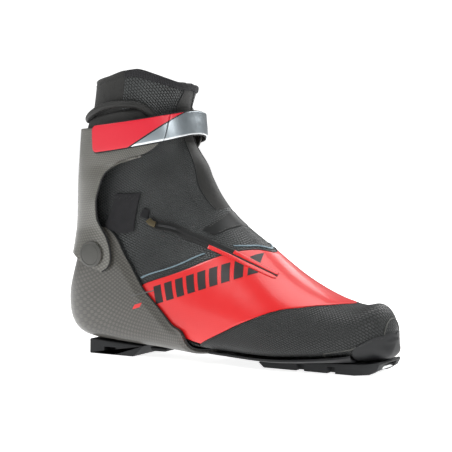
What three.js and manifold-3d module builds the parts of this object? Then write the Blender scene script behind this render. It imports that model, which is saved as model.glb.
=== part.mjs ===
// Cross country skate boot for the right foot, in millimetres.
// +X points to the toe, +Y to the inner side of the foot, +Z up, and the sole stands on z = 0.
//
// Every soft or moulded layer follows one skin, the outer face of the fabric upper. The skin is a
// loft of flat sections that turn from upright at the toe to level at the leg. A place on it is
// (u, angle): u counts the sections from the toe, and the angle goes round a section, 0 on the
// toe, instep and shin ridge, PI under the sole, up the heel and the calf, positive on the outer
// side. Seams are drawn in the side view, as a pattern maker draws them, and are laid on the skin.
import * as THREE from 'three';
import { mergeVertices } from 'three/addons/utils/BufferGeometryUtils.js';
import Module from 'manifold-3d';

const wasm = await Module();
wasm.setup();

// Overall sizes of the skin
const SKIN_LENGTH = 301;
const SKIN_WIDTH = 96;
const SKIN_HEIGHT = 244;

// Layers, as distances out from the skin
const GAP = 0.35;
const LAYER_GAP = 1.3;
const SHELL_GAP = 2.7;
const CUP_CORNER_LIFT = 1.6;
const OVERLAY_GAP = 0.5;
const INSOLE_GAP = 3;
const FABRIC = 1.4;
const LACE_LAYER = 1.5;
const LINER = 2.6;
const INSOLE = 3;
const OVERLAY = 0.7;
const SHELL_WALL = 2.2;
const PLATE_WALL = 2;
const CUFF_WALL = 2.2;
const CUFF_STANDOFF = 7;
const CUFF_LOBE_STANDOFF = 2.5;
const PADDING_GAP = 1.35;
const PADDING = 3.1;
const PIPING_RADIUS = 1.7;
const STRETCH_TRIM = 0.6;

// Cuff pivot
const PIVOT_X = 47.5;
const PIVOT_Z = 89;
const POST_RADIUS = 4.5;
const POST_CLEARANCE = 0.3;
const CAP_RADIUS = 11;
const CAP_RISE = 3.2;

// Sole unit
const RAIL_WIDTH = 41;
const FRONT_BLOCK_BACK = 112;
const FRONT_BLOCK_FLAT_BACK = 107;
const BAR_SETBACK = 9;
const BAR_HEIGHT = 6;
const BAR_RADIUS = 2;
const BAR_SLOT_WIDTH = 24;
const BAR_SLOT_REACH = 5.5;
const BAR_SEAT = 5;
const TOE_OFFSET = 7;
const FLEX_NOTCH_WIDTH = 7;
const FLEX_NOTCH_HEIGHT = 5.5;
const FLEX_NOTCHES = [29, 57];
const HEEL_BLOCK_START = 29;
const HEEL_BLOCK_LENGTH = 56;
const HEEL_BLOCK_WIDTH = 46;
const HEEL_WINDOW_LENGTH = 12;
const HEEL_WINDOW_HEIGHT = 5;
const LUG_START = 86;
const LUG_LENGTH = 17;
const LUG_WIDTH = 30;
const LUG_DROP = 3.6;

// Strap
const STRAP_WIDTH = 25;
const STRAP_THICKNESS = 2.4;
const STRAP_JOINT_GAP = 1.3;
const STRAP_FRONT_DROP = 3.5;
const LOOP_PATCH = 1;
const RIVET_RADIUS = 4.5;

// Zip and tab
const LIP_WIDTH = 4.6;
const CHAIN_WIDTH = 1.8;
const CHAIN_RISE = 0.9;
const SLIDER_LENGTH = 9;
const SLIDER_WIDTH = 5;
const SLIDER_HEIGHT = 2.6;
const PULL_LENGTH = 17;
const PULL_GAP = 1.6;
const STRIPE_WIDTH = 2.2;
const SLIDER_CLEARANCE = 2.2;

// Collar, smooth front strip and other edges on the skin, in section counts and angles
const RIM_INNER_DROP = 0.5;
const STRIP_EDGE = 0.16;
const RED_END_MARGIN = 0.2;
const SEAM_ANGLE = 1.5;
const TONGUE_ANGLE = 0.5;
const LACE_LOOPS = 4;

const RUBBER = { color: 0x38393b, roughness: 0.75, metalness: 0 };
const CARBON = { color: 0x6b6a65, roughness: 0.4, metalness: 0.2 };
const FABRIC_BLACK = { color: 0x2e302f, roughness: 0.7, metalness: 0 };
const NEOPRENE = { color: 0x3a3a37, roughness: 0.85, metalness: 0 };
const RED_FILM = { color: 0xe8413f, roughness: 0.3, metalness: 0 };
const RED_STRAP = { color: 0xeb3347, roughness: 0.45, metalness: 0 };
const SILVER = { color: 0xa9b0b3, roughness: 0.35, metalness: 0.6 };
const STEEL = { color: 0xd5dada, roughness: 0.25, metalness: 1 };
const BRASS = { color: 0x8c7b4a, roughness: 0.35, metalness: 0.9 };
const STRIPE_GREY = { color: 0x6f8590, roughness: 0.4, metalness: 0 };
const WEBBING = { color: 0x38383a, roughness: 0.9, metalness: 0 };
const LINER_GREY = { color: 0x4a4a4c, roughness: 0.95, metalness: 0 };
const CAP_GREY = { color: 0x5d5d59, roughness: 0.6, metalness: 0 };

// ---------------------------------------------------------------- the skin

// The last the skin is drawn on: its own length, ball width and height.
const LAST = { length: 301, width: 96, height: 244 };
const SCALE = new THREE.Vector3(
  SKIN_LENGTH / LAST.length, SKIN_WIDTH / LAST.width, SKIN_HEIGHT / LAST.height);

// Each section: x and z of the top and then of the bottom of its line in the side view, outer and
// inner half widths, centre line shift to the inner side, height of the widest point as a share of
// the line, and how square its top and bottom halves are (2 is an ellipse).
const SECTIONS = [
  [306, 27, 306, 27, 0, 0, 7, 0.5, 2, 2],
  [304.4, 39, 304, 19, 11, 10, 7, 0.45, 2, 2.2],
  [300, 50, 299.5, 16.5, 20, 18, 6.6, 0.42, 2.1, 2.5],
  [292, 56, 290, 15, 28.5, 25.5, 6, 0.38, 2.1, 3.2],
  [277, 54.5, 274, 14, 37, 32.5, 5, 0.34, 2.1, 3.6],
  [252, 61.5, 247, 12.5, 45, 41, 3, 0.32, 2, 3.8],
  [223, 77, 212, 11, 48, 48, 0, 0.31, 1.95, 4],
  [191, 101, 167, 12, 44.5, 44, 0, 0.32, 1.9, 4],
  [163.5, 121.5, 112, 14.5, 38.5, 37, 0, 0.34, 1.95, 4.2],
  [148, 139, 57, 17.2, 36, 36, 0, 0.36, 2, 4.4],
  [139, 153.5, 20, 22, 35.5, 36, 0, 0.38, 2.1, 3.6],
  [132.5, 166, 8, 44, 36, 36.5, 0, 0.42, 2.1, 2.7],
  [124.5, 176, 13, 78, 36.5, 37, 0, 0.46, 2.1, 2.1],
  [118.5, 186, 18.5, 106, 37, 37, 0, 0.48, 2.1, 2.1],
  [115.5, 198, 20.5, 150, 37.5, 37.5, 0, 0.5, 2.1, 2.1],
  [113.5, 212, 25, 196, 38, 38, 0, 0.5, 2.1, 2.1],
  [118, 228, 30, 228, 39.3, 39, 0, 0.5, 2.1, 2.1],
  [120, 247, 33, 250, 40.5, 40, 0, 0.5, 2.1, 2.1],
];
const LAST_U = SECTIONS.length - 1;

// The section before the toe tip is the first one turned over, so the tip comes out round.
const [, first] = SECTIONS;
const beforeTip = [first[2], first[3], first[0], first[1], -first[4], -first[5], ...first.slice(6)];
const beyondRim = SECTIONS[LAST_U].map((value, k) => 2 * value - SECTIONS[LAST_U - 1][k]);

function sectionAt(u) {
  const whole = Math.min(Math.floor(u), LAST_U - 1);
  const part = u - whole;
  const row = (k) => (k < 0 ? beforeTip : k > LAST_U ? beyondRim : SECTIONS[k]);
  const [a, b, c, d] = [row(whole - 1), row(whole), row(whole + 1), row(whole + 2)];
  return b.map((value, k) => value + 0.5 * part * (c[k] - a[k]
    + part * (2 * a[k] - 5 * b[k] + 4 * c[k] - d[k] + part * (3 * (b[k] - c[k]) + d[k] - a[k]))));
}

// Distance from the widest point's middle to the skin, at an angle on one section.
function reach(section, angle) {
  const [topX, topZ, bottomX, bottomZ, outer, inner, , level, topSquare, bottomSquare] = section;
  const line = Math.hypot(topX - bottomX, topZ - bottomZ);
  const cos = Math.cos(angle);
  const sin = Math.sin(angle);
  const height = line * (cos >= 0 ? 1 - level : level);
  const square = cos >= 0 ? topSquare : bottomSquare;
  const width = sin >= 0 ? outer : inner;
  if (height < 1e-6 || width < 1e-6) return 0;
  return (Math.abs(cos / height) ** square + Math.abs(sin / width) ** square) ** (-1 / square);
}

function skin(u, angle) {
  const section = sectionAt(u);
  const [topX, topZ, bottomX, bottomZ, , , shift, level] = section;
  const line = Math.max(Math.hypot(topX - bottomX, topZ - bottomZ), 1e-6);
  const r = reach(section, angle);
  const along = level + (r * Math.cos(angle)) / line;
  return new THREE.Vector3(
    bottomX + (topX - bottomX) * along, shift - r * Math.sin(angle),
    bottomZ + (topZ - bottomZ) * along).multiply(SCALE);
}

function skinNormal(u, angle) {
  const step = 0.02;
  const middle = Math.min(Math.max(u, 0.12), LAST_U - step);
  const alongU = skin(middle + step, angle).sub(skin(middle - step, angle));
  const alongAngle = skin(middle, angle + step).sub(skin(middle, angle - step));
  return alongU.cross(alongAngle).normalize();
}

function lifted(u, angle, lift) {
  if (u < 1e-6) return skin(0, 0).add(new THREE.Vector3(lift, 0, 0));
  return skin(u, angle).addScaledVector(skinNormal(u, angle), lift);
}

// The place on the outer side of the skin that a side-view point, on the last, falls on.
function place([x, z]) {
  let low = 0.05;
  let high = LAST_U;
  for (let turn = 0; turn < 40; turn += 1) {
    const u = (low + high) / 2;
    const [topX, topZ, bottomX, bottomZ] = sectionAt(u);
    const side = (topX - bottomX) * (z - bottomZ) - (topZ - bottomZ) * (x - bottomX);
    if (side > 0) low = u;
    else high = u;
  }
  const u = (low + high) / 2;
  const section = sectionAt(u);
  const [topX, topZ, bottomX, bottomZ, , , , level] = section;
  const line = Math.hypot(topX - bottomX, topZ - bottomZ);
  const up = ((x - bottomX) * (topX - bottomX) + (z - bottomZ) * (topZ - bottomZ)) / line;
  let small = 0;
  let large = Math.PI;
  for (let turn = 0; turn < 40; turn += 1) {
    const angle = (small + large) / 2;
    if (level * line + reach(section, angle) * Math.cos(angle) > up) small = angle;
    else large = angle;
  }
  return { u, angle: (small + large) / 2 };
}

// A smooth curve through (key, value) pairs in growing key order, flat beyond its ends.
function smoothCurve(pairs, flatEnds = false) {
  const slope = (k) => {
    if (flatEnds && (k === 0 || k === pairs.length - 1)) return 0;
    const a = pairs[Math.max(k - 1, 0)];
    const b = pairs[Math.min(k + 1, pairs.length - 1)];
    return (b[1] - a[1]) / (b[0] - a[0]);
  };
  return (key) => {
    if (key <= pairs[0][0]) return pairs[0][1];
    if (key >= pairs.at(-1)[0]) return pairs.at(-1)[1];
    const k = pairs.findIndex((pair) => pair[0] > key) - 1;
    const span = pairs[k + 1][0] - pairs[k][0];
    const t = (key - pairs[k][0]) / span;
    return pairs[k][1] * (1 + 2 * t) * (1 - t) ** 2 + slope(k) * span * t * (1 - t) ** 2
      + pairs[k + 1][1] * t * t * (3 - 2 * t) - slope(k + 1) * span * t * t * (1 - t);
  };
}

// A seam drawn in the side view from the ridge (angle 0) round to the back or sole (angle PI),
// the same on both sides: it gives u at an angle.
function seam(points) {
  const places = points.map(place).sort((a, b) => a.angle - b.angle);
  const curve = smoothCurve(places.map(({ u, angle }) => [angle, u]), true);
  return (angle) => curve(Math.abs(Math.atan2(Math.sin(angle), Math.cos(angle))));
}

// ---------------------------------------------------------------- solids

function indexedGeometry(points, triangles) {
  const geometry = new THREE.BufferGeometry().setFromPoints(points);
  geometry.setIndex(triangles);
  let volume = 0;
  for (let k = 0; k < triangles.length; k += 3) {
    const [a, b, c] = [points[triangles[k]], points[triangles[k + 1]], points[triangles[k + 2]]];
    volume += a.dot(b.clone().cross(c));
  }
  if (volume < 0) geometry.setIndex(triangles.toReversed());
  return geometry;
}

// A closed wall between an inner and an outer face, both given by point(s, t, side) with s and t
// from 0 to 1 and side 0 inside, 1 outside. A ring closes on itself in t, a cap starts at a tip.
function wall(point, rows, cols, { ring = false, cap = false } = {}) {
  const across = ring ? cols : cols + 1;
  const firstRow = cap ? 1 : 0;
  const points = [];
  const index = {};
  for (const side of [0, 1]) {
    if (cap) {
      index[`tip${side}`] = points.length;
      points.push(point(0, 0, side));
    }
    for (let i = firstRow; i <= rows; i += 1) {
      for (let j = 0; j < across; j += 1) {
        index[`${side},${i},${j}`] = points.length;
        points.push(point(i / rows, j / cols, side));
      }
    }
  }
  const at = (side, i, j) => index[`${side},${i},${ring ? j % cols : j}`];
  const triangles = [];
  const quad = (a, b, c, d) => triangles.push(a, b, c, a, c, d);
  for (let j = 0; j < cols; j += 1) {
    for (let i = firstRow; i < rows; i += 1) {
      quad(at(1, i, j), at(1, i + 1, j), at(1, i + 1, j + 1), at(1, i, j + 1));
      quad(at(0, i, j + 1), at(0, i + 1, j + 1), at(0, i + 1, j), at(0, i, j));
    }
    quad(at(1, rows, j), at(0, rows, j), at(0, rows, j + 1), at(1, rows, j + 1));
    if (cap) {
      triangles.push(index.tip1, at(1, 1, j), at(1, 1, j + 1));
      triangles.push(index.tip0, at(0, 1, j + 1), at(0, 1, j));
    } else {
      quad(at(0, 0, j), at(1, 0, j), at(1, 0, j + 1), at(0, 0, j + 1));
    }
  }
  for (let i = firstRow; i < rows && !ring; i += 1) {
    quad(at(0, i, 0), at(0, i + 1, 0), at(1, i + 1, 0), at(1, i, 0));
    quad(at(1, i, cols), at(1, i + 1, cols), at(0, i + 1, cols), at(0, i, cols));
  }
  return indexedGeometry(points, triangles);
}

// A wall on the skin. where(s, t) gives { u, angle }; lift is [inside, outside], each a number or
// a function of (s, t, angle). The edges are trimmed back, so neighbours on one seam stay apart.
function layer(where, lift, rows, cols, options = {}) {
  const { ring = false, cap = false, trim = GAP / 2 } = options;
  const liftOf = (side, s, t, spot) => (
    typeof lift[side] === 'function' ? lift[side](s, t, spot) : lift[side]);
  const spotOf = (s, t) => {
    const spot = where(s, t);
    return skin(spot.u, spot.angle);
  };
  const length = (a, b) => Math.max(spotOf(...a).distanceTo(spotOf(...b)), 1);
  const pulledIn = (value, span, open) => {
    const share = Math.min(trim / span, 0.2);
    if (value < share && !open) return share;
    return Math.min(value, 1 - share);
  };
  return wall((s, t, side) => {
    const down = pulledIn(s, length([0, t], [0.5, t]) + length([0.5, t], [1, t]), cap);
    const over = ring ? t : pulledIn(t, length([s, 0], [s, 0.5]) + length([s, 0.5], [s, 1]), false);
    const spot = where(down, over);
    return lifted(spot.u, spot.angle, liftOf(side, down, over, spot));
  }, rows, cols, { ring, cap });
}

// Length round the instep from the ridge to an angle up to PI, and the angle at such a length.
const GIRTH_STEPS = 32;
const GIRTH_SECTION = 7.5;
const FINE_STEPS = 720;
const girths = [0];
for (let k = 1; k <= FINE_STEPS; k += 1) {
  const [a, b] = [k - 1, k].map((step) => skin(GIRTH_SECTION, (step / FINE_STEPS) * Math.PI));
  girths.push(girths[k - 1] + a.distanceTo(b));
}
const halfGirth = girths.at(-1);
const girthOf = (angle) => girths[Math.round((angle / Math.PI) * FINE_STEPS)];
function angleOf(girth) {
  const k = Math.max(girths.findIndex((length) => length >= girth - 1e-9), 1);
  const part = (girth - girths[k - 1]) / (girths[k] - girths[k - 1]);
  return ((k - 1 + THREE.MathUtils.clamp(part, 0, 1)) / FINE_STEPS) * Math.PI;
}

// The angles that every layer is cut at, evenly spaced along that girth, so that the facets of one
// layer lie flat on those of the next.
const halfAngles = Array.from(
  { length: GIRTH_STEPS / 2 + 1 }, (_, k) => angleOf((halfGirth * k) / (GIRTH_STEPS / 2)));
const girthAngles = [
  ...halfAngles, ...halfAngles.slice(1, -1).reverse().map((angle) => 2 * Math.PI - angle)];

// The columns of a band from one angle to another, with its own two ends.
function bandColumns(from, to) {
  const [low, high] = [Math.min(from, to), Math.max(from, to)];
  const least = 0.06;
  const inner = [-2 * Math.PI, 0, 2 * Math.PI]
    .flatMap((turn) => girthAngles.map((angle) => angle + turn))
    .filter((angle) => angle > low + least && angle < high - least)
    .sort((a, b) => a - b);
  const all = [low, ...inner, high];
  return from < to ? all : all.reverse();
}

// A layer between two seams, all the way round; the liner and the toe box start at the toe tip.
function ringLayer(low, high, lift, rows, options = {}) {
  const cols = girthAngles.length;
  return layer((s, t) => {
    const angle = girthAngles[Math.round(t * cols) % cols];
    return { u: THREE.MathUtils.lerp(low(angle), high(angle), s), angle };
  }, lift, rows, cols, { ring: true, ...options });
}

// A layer between two seams, from one angle to another.
function bandLayer(low, high, from, to, lift, rows, options = {}) {
  const angles = bandColumns(from, to);
  const cols = angles.length - 1;
  const angleAt = (t) => {
    const k = Math.min(Math.floor(t * cols), cols - 1);
    return THREE.MathUtils.lerp(angles[k], angles[k + 1], t * cols - k);
  };
  return layer((s, t) => {
    const angle = angleAt(t);
    return { u: THREE.MathUtils.lerp(low(angle), high(angle), s), angle };
  }, lift, rows, cols, options);
}

// Round the back or under the sole, from an edge on the outer side to its mirror image: edge(s)
// and back(s) give places, the back's angle being PI.
const wrapped = (edge, back) => (s, t) => {
  const side = edge(s);
  const middle = back(s);
  const share = Math.abs(2 * t - 1);
  const angle = angleOf(THREE.MathUtils.lerp(halfGirth, girthOf(side.angle), share));
  return {
    u: THREE.MathUtils.lerp(middle.u, side.u, share),
    angle: t < 0.5 ? angle : 2 * Math.PI - angle,
  };
};

// A smooth path through side-view points, as places on the skin.
function path(points) {
  const places = points.map(place);
  const keys = places.map((_, k) => k / (places.length - 1));
  const u = smoothCurve(keys.map((key, k) => [key, places[k].u]));
  const angle = smoothCurve(keys.map((key, k) => [key, places[k].angle]));
  return (s) => ({ u: u(s), angle: angle(s) });
}

// A flat strip that runs along a path on the skin, beside the path by an offset.
function strip(route, { width, inside, outside, offset = 0, steps = 16, from = 0, to = 1 }) {
  const point = (s, t, side) => {
    const run = THREE.MathUtils.lerp(from, to, s);
    const spot = route(run);
    const ahead = route(Math.min(run + 0.01, 1));
    const behind = route(Math.max(run - 0.01, 0));
    const along = skin(ahead.u, ahead.angle).sub(skin(behind.u, behind.angle)).normalize();
    const normal = skinNormal(spot.u, spot.angle);
    const across = normal.clone().cross(along).normalize();
    return skin(spot.u, spot.angle).addScaledVector(normal, side ? outside : inside)
      .addScaledVector(across, offset + (t - 0.5) * width);
  };
  return wall(point, steps, 1);
}

function toManifold(geometry) {
  const bare = geometry.clone();
  bare.deleteAttribute('normal');
  bare.deleteAttribute('uv');
  const merged = mergeVertices(bare, 1e-4);
  return new wasm.Manifold(new wasm.Mesh({
    numProp: 3,
    vertProperties: new Float32Array(merged.attributes.position.array),
    triVerts: new Uint32Array(merged.index.array),
  }));
}

function fromManifold(solid) {
  const mesh = solid.getMesh();
  const geometry = new THREE.BufferGeometry();
  geometry.setAttribute('position', new THREE.BufferAttribute(mesh.vertProperties, mesh.numProp));
  geometry.setIndex(new THREE.BufferAttribute(mesh.triVerts, 1));
  return geometry;
}

const cut = (geometry, ...tools) => fromManifold(
  tools.reduce((solid, tool) => solid.subtract(toManifold(tool)), toManifold(geometry)));

// A cylinder along Y between two y values.
function crossPin(radius, x, z, fromY, toY, sides = 20) {
  const pin = new THREE.CylinderGeometry(radius, radius, Math.abs(toY - fromY), sides);
  return pin.translate(x, (fromY + toY) / 2, z);
}

// A side-view outline made solid between two y values.
function extruded(outline, fromY, toY, curveSegments = 6) {
  const shape = new THREE.Shape(outline.map(([x, z]) => new THREE.Vector2(x, z)));
  const geometry = new THREE.ExtrudeGeometry(
    shape, { depth: toY - fromY, bevelEnabled: false, curveSegments });
  return geometry.rotateX(Math.PI / 2).translate(0, toY, 0);
}

function box(x0, x1, y0, y1, z0, z1) {
  const geometry = new THREE.BoxGeometry(x1 - x0, y1 - y0, z1 - z0);
  return geometry.translate((x0 + x1) / 2, (y0 + y1) / 2, (z0 + z1) / 2);
}

const boot = new THREE.Group();

function add(name, geometry, finish) {
  const mesh = new THREE.Mesh(geometry, new THREE.MeshStandardMaterial(finish));
  mesh.name = name;
  boot.add(mesh);
  return mesh;
}

// ---------------------------------------------------------------- seams and layers

const SOLE_SPLIT = [150, 12.6];
const toeSeam = seam([[272, 56.5], [261, 55.5], [242.5, 54], [228, 52.3], [211, 46.7],
  [182.5, 34.3], [147, 16.6], SOLE_SPLIT]);
const redCorner = place([147, 16.6]).angle;
const rawRedTop = seam([[200, 94], [191.5, 96.5], [181, 96], [146, 84.3], [104, 69], [89, 61],
  [97, 48], [120, 28], [144, 17.2], SOLE_SPLIT]);
const redTop = (angle) => {
  const round = Math.abs(Math.atan2(Math.sin(angle), Math.cos(angle)));
  return round >= redCorner ? toeSeam(angle) : Math.max(rawRedTop(angle), toeSeam(angle) + 0.02);
};
const ankleLow = seam([[155, 129], [122, 140], [92, 148], [64, 141], [47, 112], [32, 97], [14, 86]]);
const ankleHigh = seam([[129, 170], [99, 167], [65, 160], [42, 143], [30, 122], [19, 100]]);
// The collar stands a little lower on the inner side.
const outerRim = seam([[118, 234], [106, 240], [89, 245], [80, 244.5], [58, 239], [31, 234]]);
const rim = (angle) => outerRim(angle) - RIM_INNER_DROP * Math.max(0, -Math.sin(angle));

const fabric = [-FABRIC, 0];
const laceTop = -FABRIC - LAYER_GAP;
const laceLift = [laceTop - LACE_LAYER, laceTop];
const linerTop = laceTop - LACE_LAYER - LAYER_GAP;
const liner = [linerTop - LINER, linerTop];
const insoleTop = linerTop - LINER - INSOLE_GAP;
const insoleLift = [insoleTop - INSOLE, insoleTop];

// Upper, in one layer of patches that share seams
const toeTip = () => 0;
add('toe_box', ringLayer(toeTip, toeSeam, fabric, 10, { cap: true }), FABRIC_BLACK);

// The panel ends on a shared column, so its steep edge and the quarter's have the same facets.
const redReach = halfAngles.filter((angle) => angle < redCorner - RED_END_MARGIN).at(-1);
add('overlay_panel', bandLayer(toeSeam, redTop, redReach, -redReach, fabric, 6), RED_FILM);
add('quarter', ringLayer(redTop, ankleLow, fabric, 11), FABRIC_BLACK);
add('ankle_gusset', ringLayer(ankleLow, ankleHigh, fabric, 2, { trim: STRETCH_TRIM }), FABRIC_BLACK);

add('shaft_front_strip', bandLayer(ankleHigh, rim, STRIP_EDGE, -STRIP_EDGE, fabric, 5), NEOPRENE);
add('shaft_panel_lateral', bandLayer(ankleHigh, rim, SEAM_ANGLE, STRIP_EDGE, fabric, 5), FABRIC_BLACK);
add('shaft_panel_medial', bandLayer(ankleHigh, rim, -STRIP_EDGE, -SEAM_ANGLE, fabric, 5), FABRIC_BLACK);
add('rear_neoprene_panel', bandLayer(
  ankleHigh, rim, 2 * Math.PI - SEAM_ANGLE, SEAM_ANGLE, fabric, 6), NEOPRENE);

// Liner, tongue and lace loops
add('liner_foot', ringLayer(toeTip, ankleLow, liner, 13, { cap: true }), LINER_GREY);
add('liner_ankle', ringLayer(ankleLow, ankleHigh, liner, 2, { trim: 3 * STRETCH_TRIM }), LINER_GREY);
const linerHem = (angle) => ankleHigh(angle) + 0.3;
add('liner_shaft', ringLayer(linerHem, rim, liner, 4), LINER_GREY);
const tongueStart = () => place([232, 79]).u;
const tongueEnd = (angle) => ankleLow(angle) - 0.3;
add('tongue', bandLayer(tongueStart, tongueEnd, TONGUE_ANGLE, -TONGUE_ANGLE, laceLift, 8), LINER_GREY);

const loopStart = place([214, 80]).u;
const loopEnd = place([170, 100]).u;
for (const [side, sign] of [['lateral', 1], ['medial', -1]]) {
  for (let k = 0; k < LACE_LOOPS; k += 1) {
    const u = THREE.MathUtils.lerp(loopStart, loopEnd, k / (LACE_LOOPS - 1));
    const from = sign * (TONGUE_ANGLE + 0.1);
    const to = sign * (TONGUE_ANGLE + 0.42);
    add(`lace_loop_${side}_${k + 1}`, bandLayer(
      () => u - 0.07, () => u + 0.07, from, to, laceLift, 1), WEBBING);
  }
}

const soleAngle = 2.55;
const insoleFrom = place([292, 17]).u;
const insoleTo = place([30, 21]).u;
add('insole_board', bandLayer(
  () => insoleFrom, () => insoleTo, soleAngle, 2 * Math.PI - soleAngle, insoleLift, 14), LINER_GREY);

// Shell: heel cup, sole plate, toe rand
// The cup stands a little further off where its front corner laps over three fabric panels.
const cupInside = (s) => SHELL_GAP + CUP_CORNER_LIFT * (1 - THREE.MathUtils.smoothstep(s, 0, 0.3));
const shellLift = [cupInside, (s) => cupInside(s) + SHELL_WALL];
const cupEdge = path([[150.8, 12.4], [137, 23], [122.6, 34.5], [99.6, 56], [80.4, 82], [69, 101.5],
  [58, 111.5], [46, 109], [32, 97], [20, 89]]);
const cupBack = (s) => ({
  u: THREE.MathUtils.lerp(place(SOLE_SPLIT).u, place([15.5, 87]).u, s), angle: Math.PI });
const drillTo = 70 * SCALE.y;
const postHoles = [[-drillTo, -15], [15, drillTo]].map(([from, to]) => crossPin(
  POST_RADIUS + POST_CLEARANCE, PIVOT_X, PIVOT_Z, from, to));
add('heel_cup', cut(layer(wrapped(cupEdge, cupBack), shellLift, 16, 22), ...postHoles), CARBON);

const plateEdge = path([[281, 19.5], [262, 17], [233, 14.5], [207, 13.5], [154, 14.5]]);
const plateBack = (s) => ({
  u: THREE.MathUtils.lerp(place([281, 20]).u, place([153, 12.6]).u, s), angle: Math.PI });
const plateLift = [SHELL_GAP, SHELL_GAP + PLATE_WALL];
add('sole_plate', layer(wrapped(plateEdge, plateBack), plateLift, 9, 12), RUBBER);
const randSeam = (() => {
  const places = [[301.5, 29.5], [291, 25], [283, 20]].map(place);
  const pairs = [[0, 0.32], ...places.map(({ u, angle }) => [angle, u])];
  pairs.push([Math.PI, places.at(-1).u]);
  const curve = smoothCurve(pairs, true);
  return (angle) => curve(Math.abs(Math.atan2(Math.sin(angle), Math.cos(angle))));
})();
add('toe_rand', ringLayer(toeTip, randSeam, plateLift, 5, { cap: true }), RUBBER);

// ---------------------------------------------------------------- cuff

const cuffEdge = path([[56, 74.5], [63, 79.5], [65, 88], [62.5, 101], [54.8, 116], [53.5, 132],
  [57, 146], [64, 160], [80, 170.5], [97, 177], [104, 188], [99, 203.5]]);
const cuffBack = path([[13.5, 89], [13.8, 91], [14.6, 95], [16, 101], [17, 110], [18, 122],
  [19, 136], [20, 148], [20.5, 160], [21, 172], [22.5, 184], [25, 195]]);
const onBack = (route) => (s) => ({ u: route(s).u, angle: Math.PI });
const overCup = SHELL_GAP + SHELL_WALL + CUFF_LOBE_STANDOFF;
const rise = (value, from, to) => THREE.MathUtils.smoothstep(value, from, to);
const cuffInside = (s, t) => {
  const front = Math.abs(2 * t - 1) ** 3;
  const waist = rise(s, 0.3, 0.48) * (1 - rise(s, 0.6, 0.8));
  return THREE.MathUtils.lerp(overCup, CUFF_STANDOFF, rise(s, 0.26, 0.46)) + 2 * front * waist;
};
const cuffSolid = layer(wrapped(cuffEdge, onBack(cuffBack)),
  [cuffInside, (s, t) => cuffInside(s, t) + CUFF_WALL], 14, 22);
add('cuff', cut(cuffSolid, ...postHoles), CARBON);

const paddingLift = [PADDING_GAP, PADDING_GAP + PADDING];
const paddingEdge = path([[38, 120], [37, 134], [40, 147], [51, 159], [67, 167], [84, 172.5],
  [98, 180], [101, 192], [99, 204], [93, 213.5]]);
const paddingBack = path([[17, 108], [18, 118], [19, 130], [20, 142], [20.5, 154], [21, 166],
  [22, 178], [24, 190], [26, 200], [28, 208]]);
add('cuff_padding', layer(wrapped(paddingEdge, onBack(paddingBack)), paddingLift, 9, 20), NEOPRENE);

const paddingTop = wrapped(paddingEdge, onBack(paddingBack));
const pipingPoints = [];
for (let k = 0; k <= 20; k += 1) {
  const spot = paddingTop(1, k / 20);
  const above = lifted(spot.u, spot.angle, (paddingLift[0] + paddingLift[1]) / 2);
  pipingPoints.push(above.add(new THREE.Vector3(0, 0, PIPING_RADIUS + GAP * 2)));
}
function tube(points, radius, steps, sides = 4) {
  const circle = new THREE.Shape().absarc(0, 0, radius, 0, 2 * Math.PI);
  return new THREE.ExtrudeGeometry(circle, {
    extrudePath: new THREE.CatmullRomCurve3(points),
    steps,
    curveSegments: sides,
    bevelEnabled: false,
  });
}
add('cuff_piping', tube(pipingPoints, PIPING_RADIUS, 30), NEOPRENE);

const cuffOuter = overCup + CUFF_WALL;
// How far out the skin plus a lift reaches around the pivot, on one side of the boot.
function reachAtPivot(sign, lift, radius) {
  let most = 0;
  for (let k = 0; k <= 16; k += 1) {
    const turn = (k / 16) * 2 * Math.PI;
    const ring = k === 16 ? 0 : radius;
    const spot = place([(PIVOT_X + ring * Math.cos(turn)) / SCALE.x,
      (PIVOT_Z + ring * Math.sin(turn)) / SCALE.z]);
    most = Math.max(most, sign * lifted(spot.u, -sign * spot.angle, lift).y);
  }
  return most;
}
const capProfile = [[0, 0], [CAP_RADIUS, 0], [CAP_RADIUS, 1.2], [CAP_RADIUS - 1, 2],
  [CAP_RADIUS * 0.6, CAP_RISE * 0.85], [0, CAP_RISE]].map(([x, y]) => new THREE.Vector2(x, y));
for (const [side, sign] of [['lateral', -1], ['medial', 1]]) {
  const seat = reachAtPivot(sign, cuffOuter + 2 * GAP, CAP_RADIUS);
  const start = reachAtPivot(sign, SHELL_GAP, POST_RADIUS);
  add(`pivot_post_${side}`, crossPin(
    POST_RADIUS, PIVOT_X, PIVOT_Z, sign * start, sign * (seat - GAP)), STEEL);
  const cap = new THREE.LatheGeometry(capProfile, 28).rotateX(sign < 0 ? Math.PI : 0);
  add(`pivot_cap_${side}`, cap.translate(PIVOT_X, sign * seat, PIVOT_Z), CAP_GREY);
}

// ---------------------------------------------------------------- strap

const strapLift = CUFF_STANDOFF + CUFF_WALL + GAP + LOOP_PATCH + GAP;
const strapMiddle = seam([[48, 185], [72, 189.5], [99, 195], [110, 197.5], [115.3, 198.5]]);
const heightAt = (angle, drop) => {
  const u = strapMiddle(angle);
  const speed = skin(u + 0.05, angle).distanceTo(skin(u - 0.05, angle)) / 0.1;
  return u + drop / speed;
};
const strapLow = (angle) => heightAt(angle, -STRAP_WIDTH / 2);
const strapHigh = (angle) => heightAt(angle, STRAP_WIDTH / 2);
const strapCorner = place([106, 196.5]).angle;
const strapTip = place([53, 186]).angle;
const strapHinge = -place([86, 192]).angle;
const strapAnchor = -place([66, 188.5]).angle;
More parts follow.
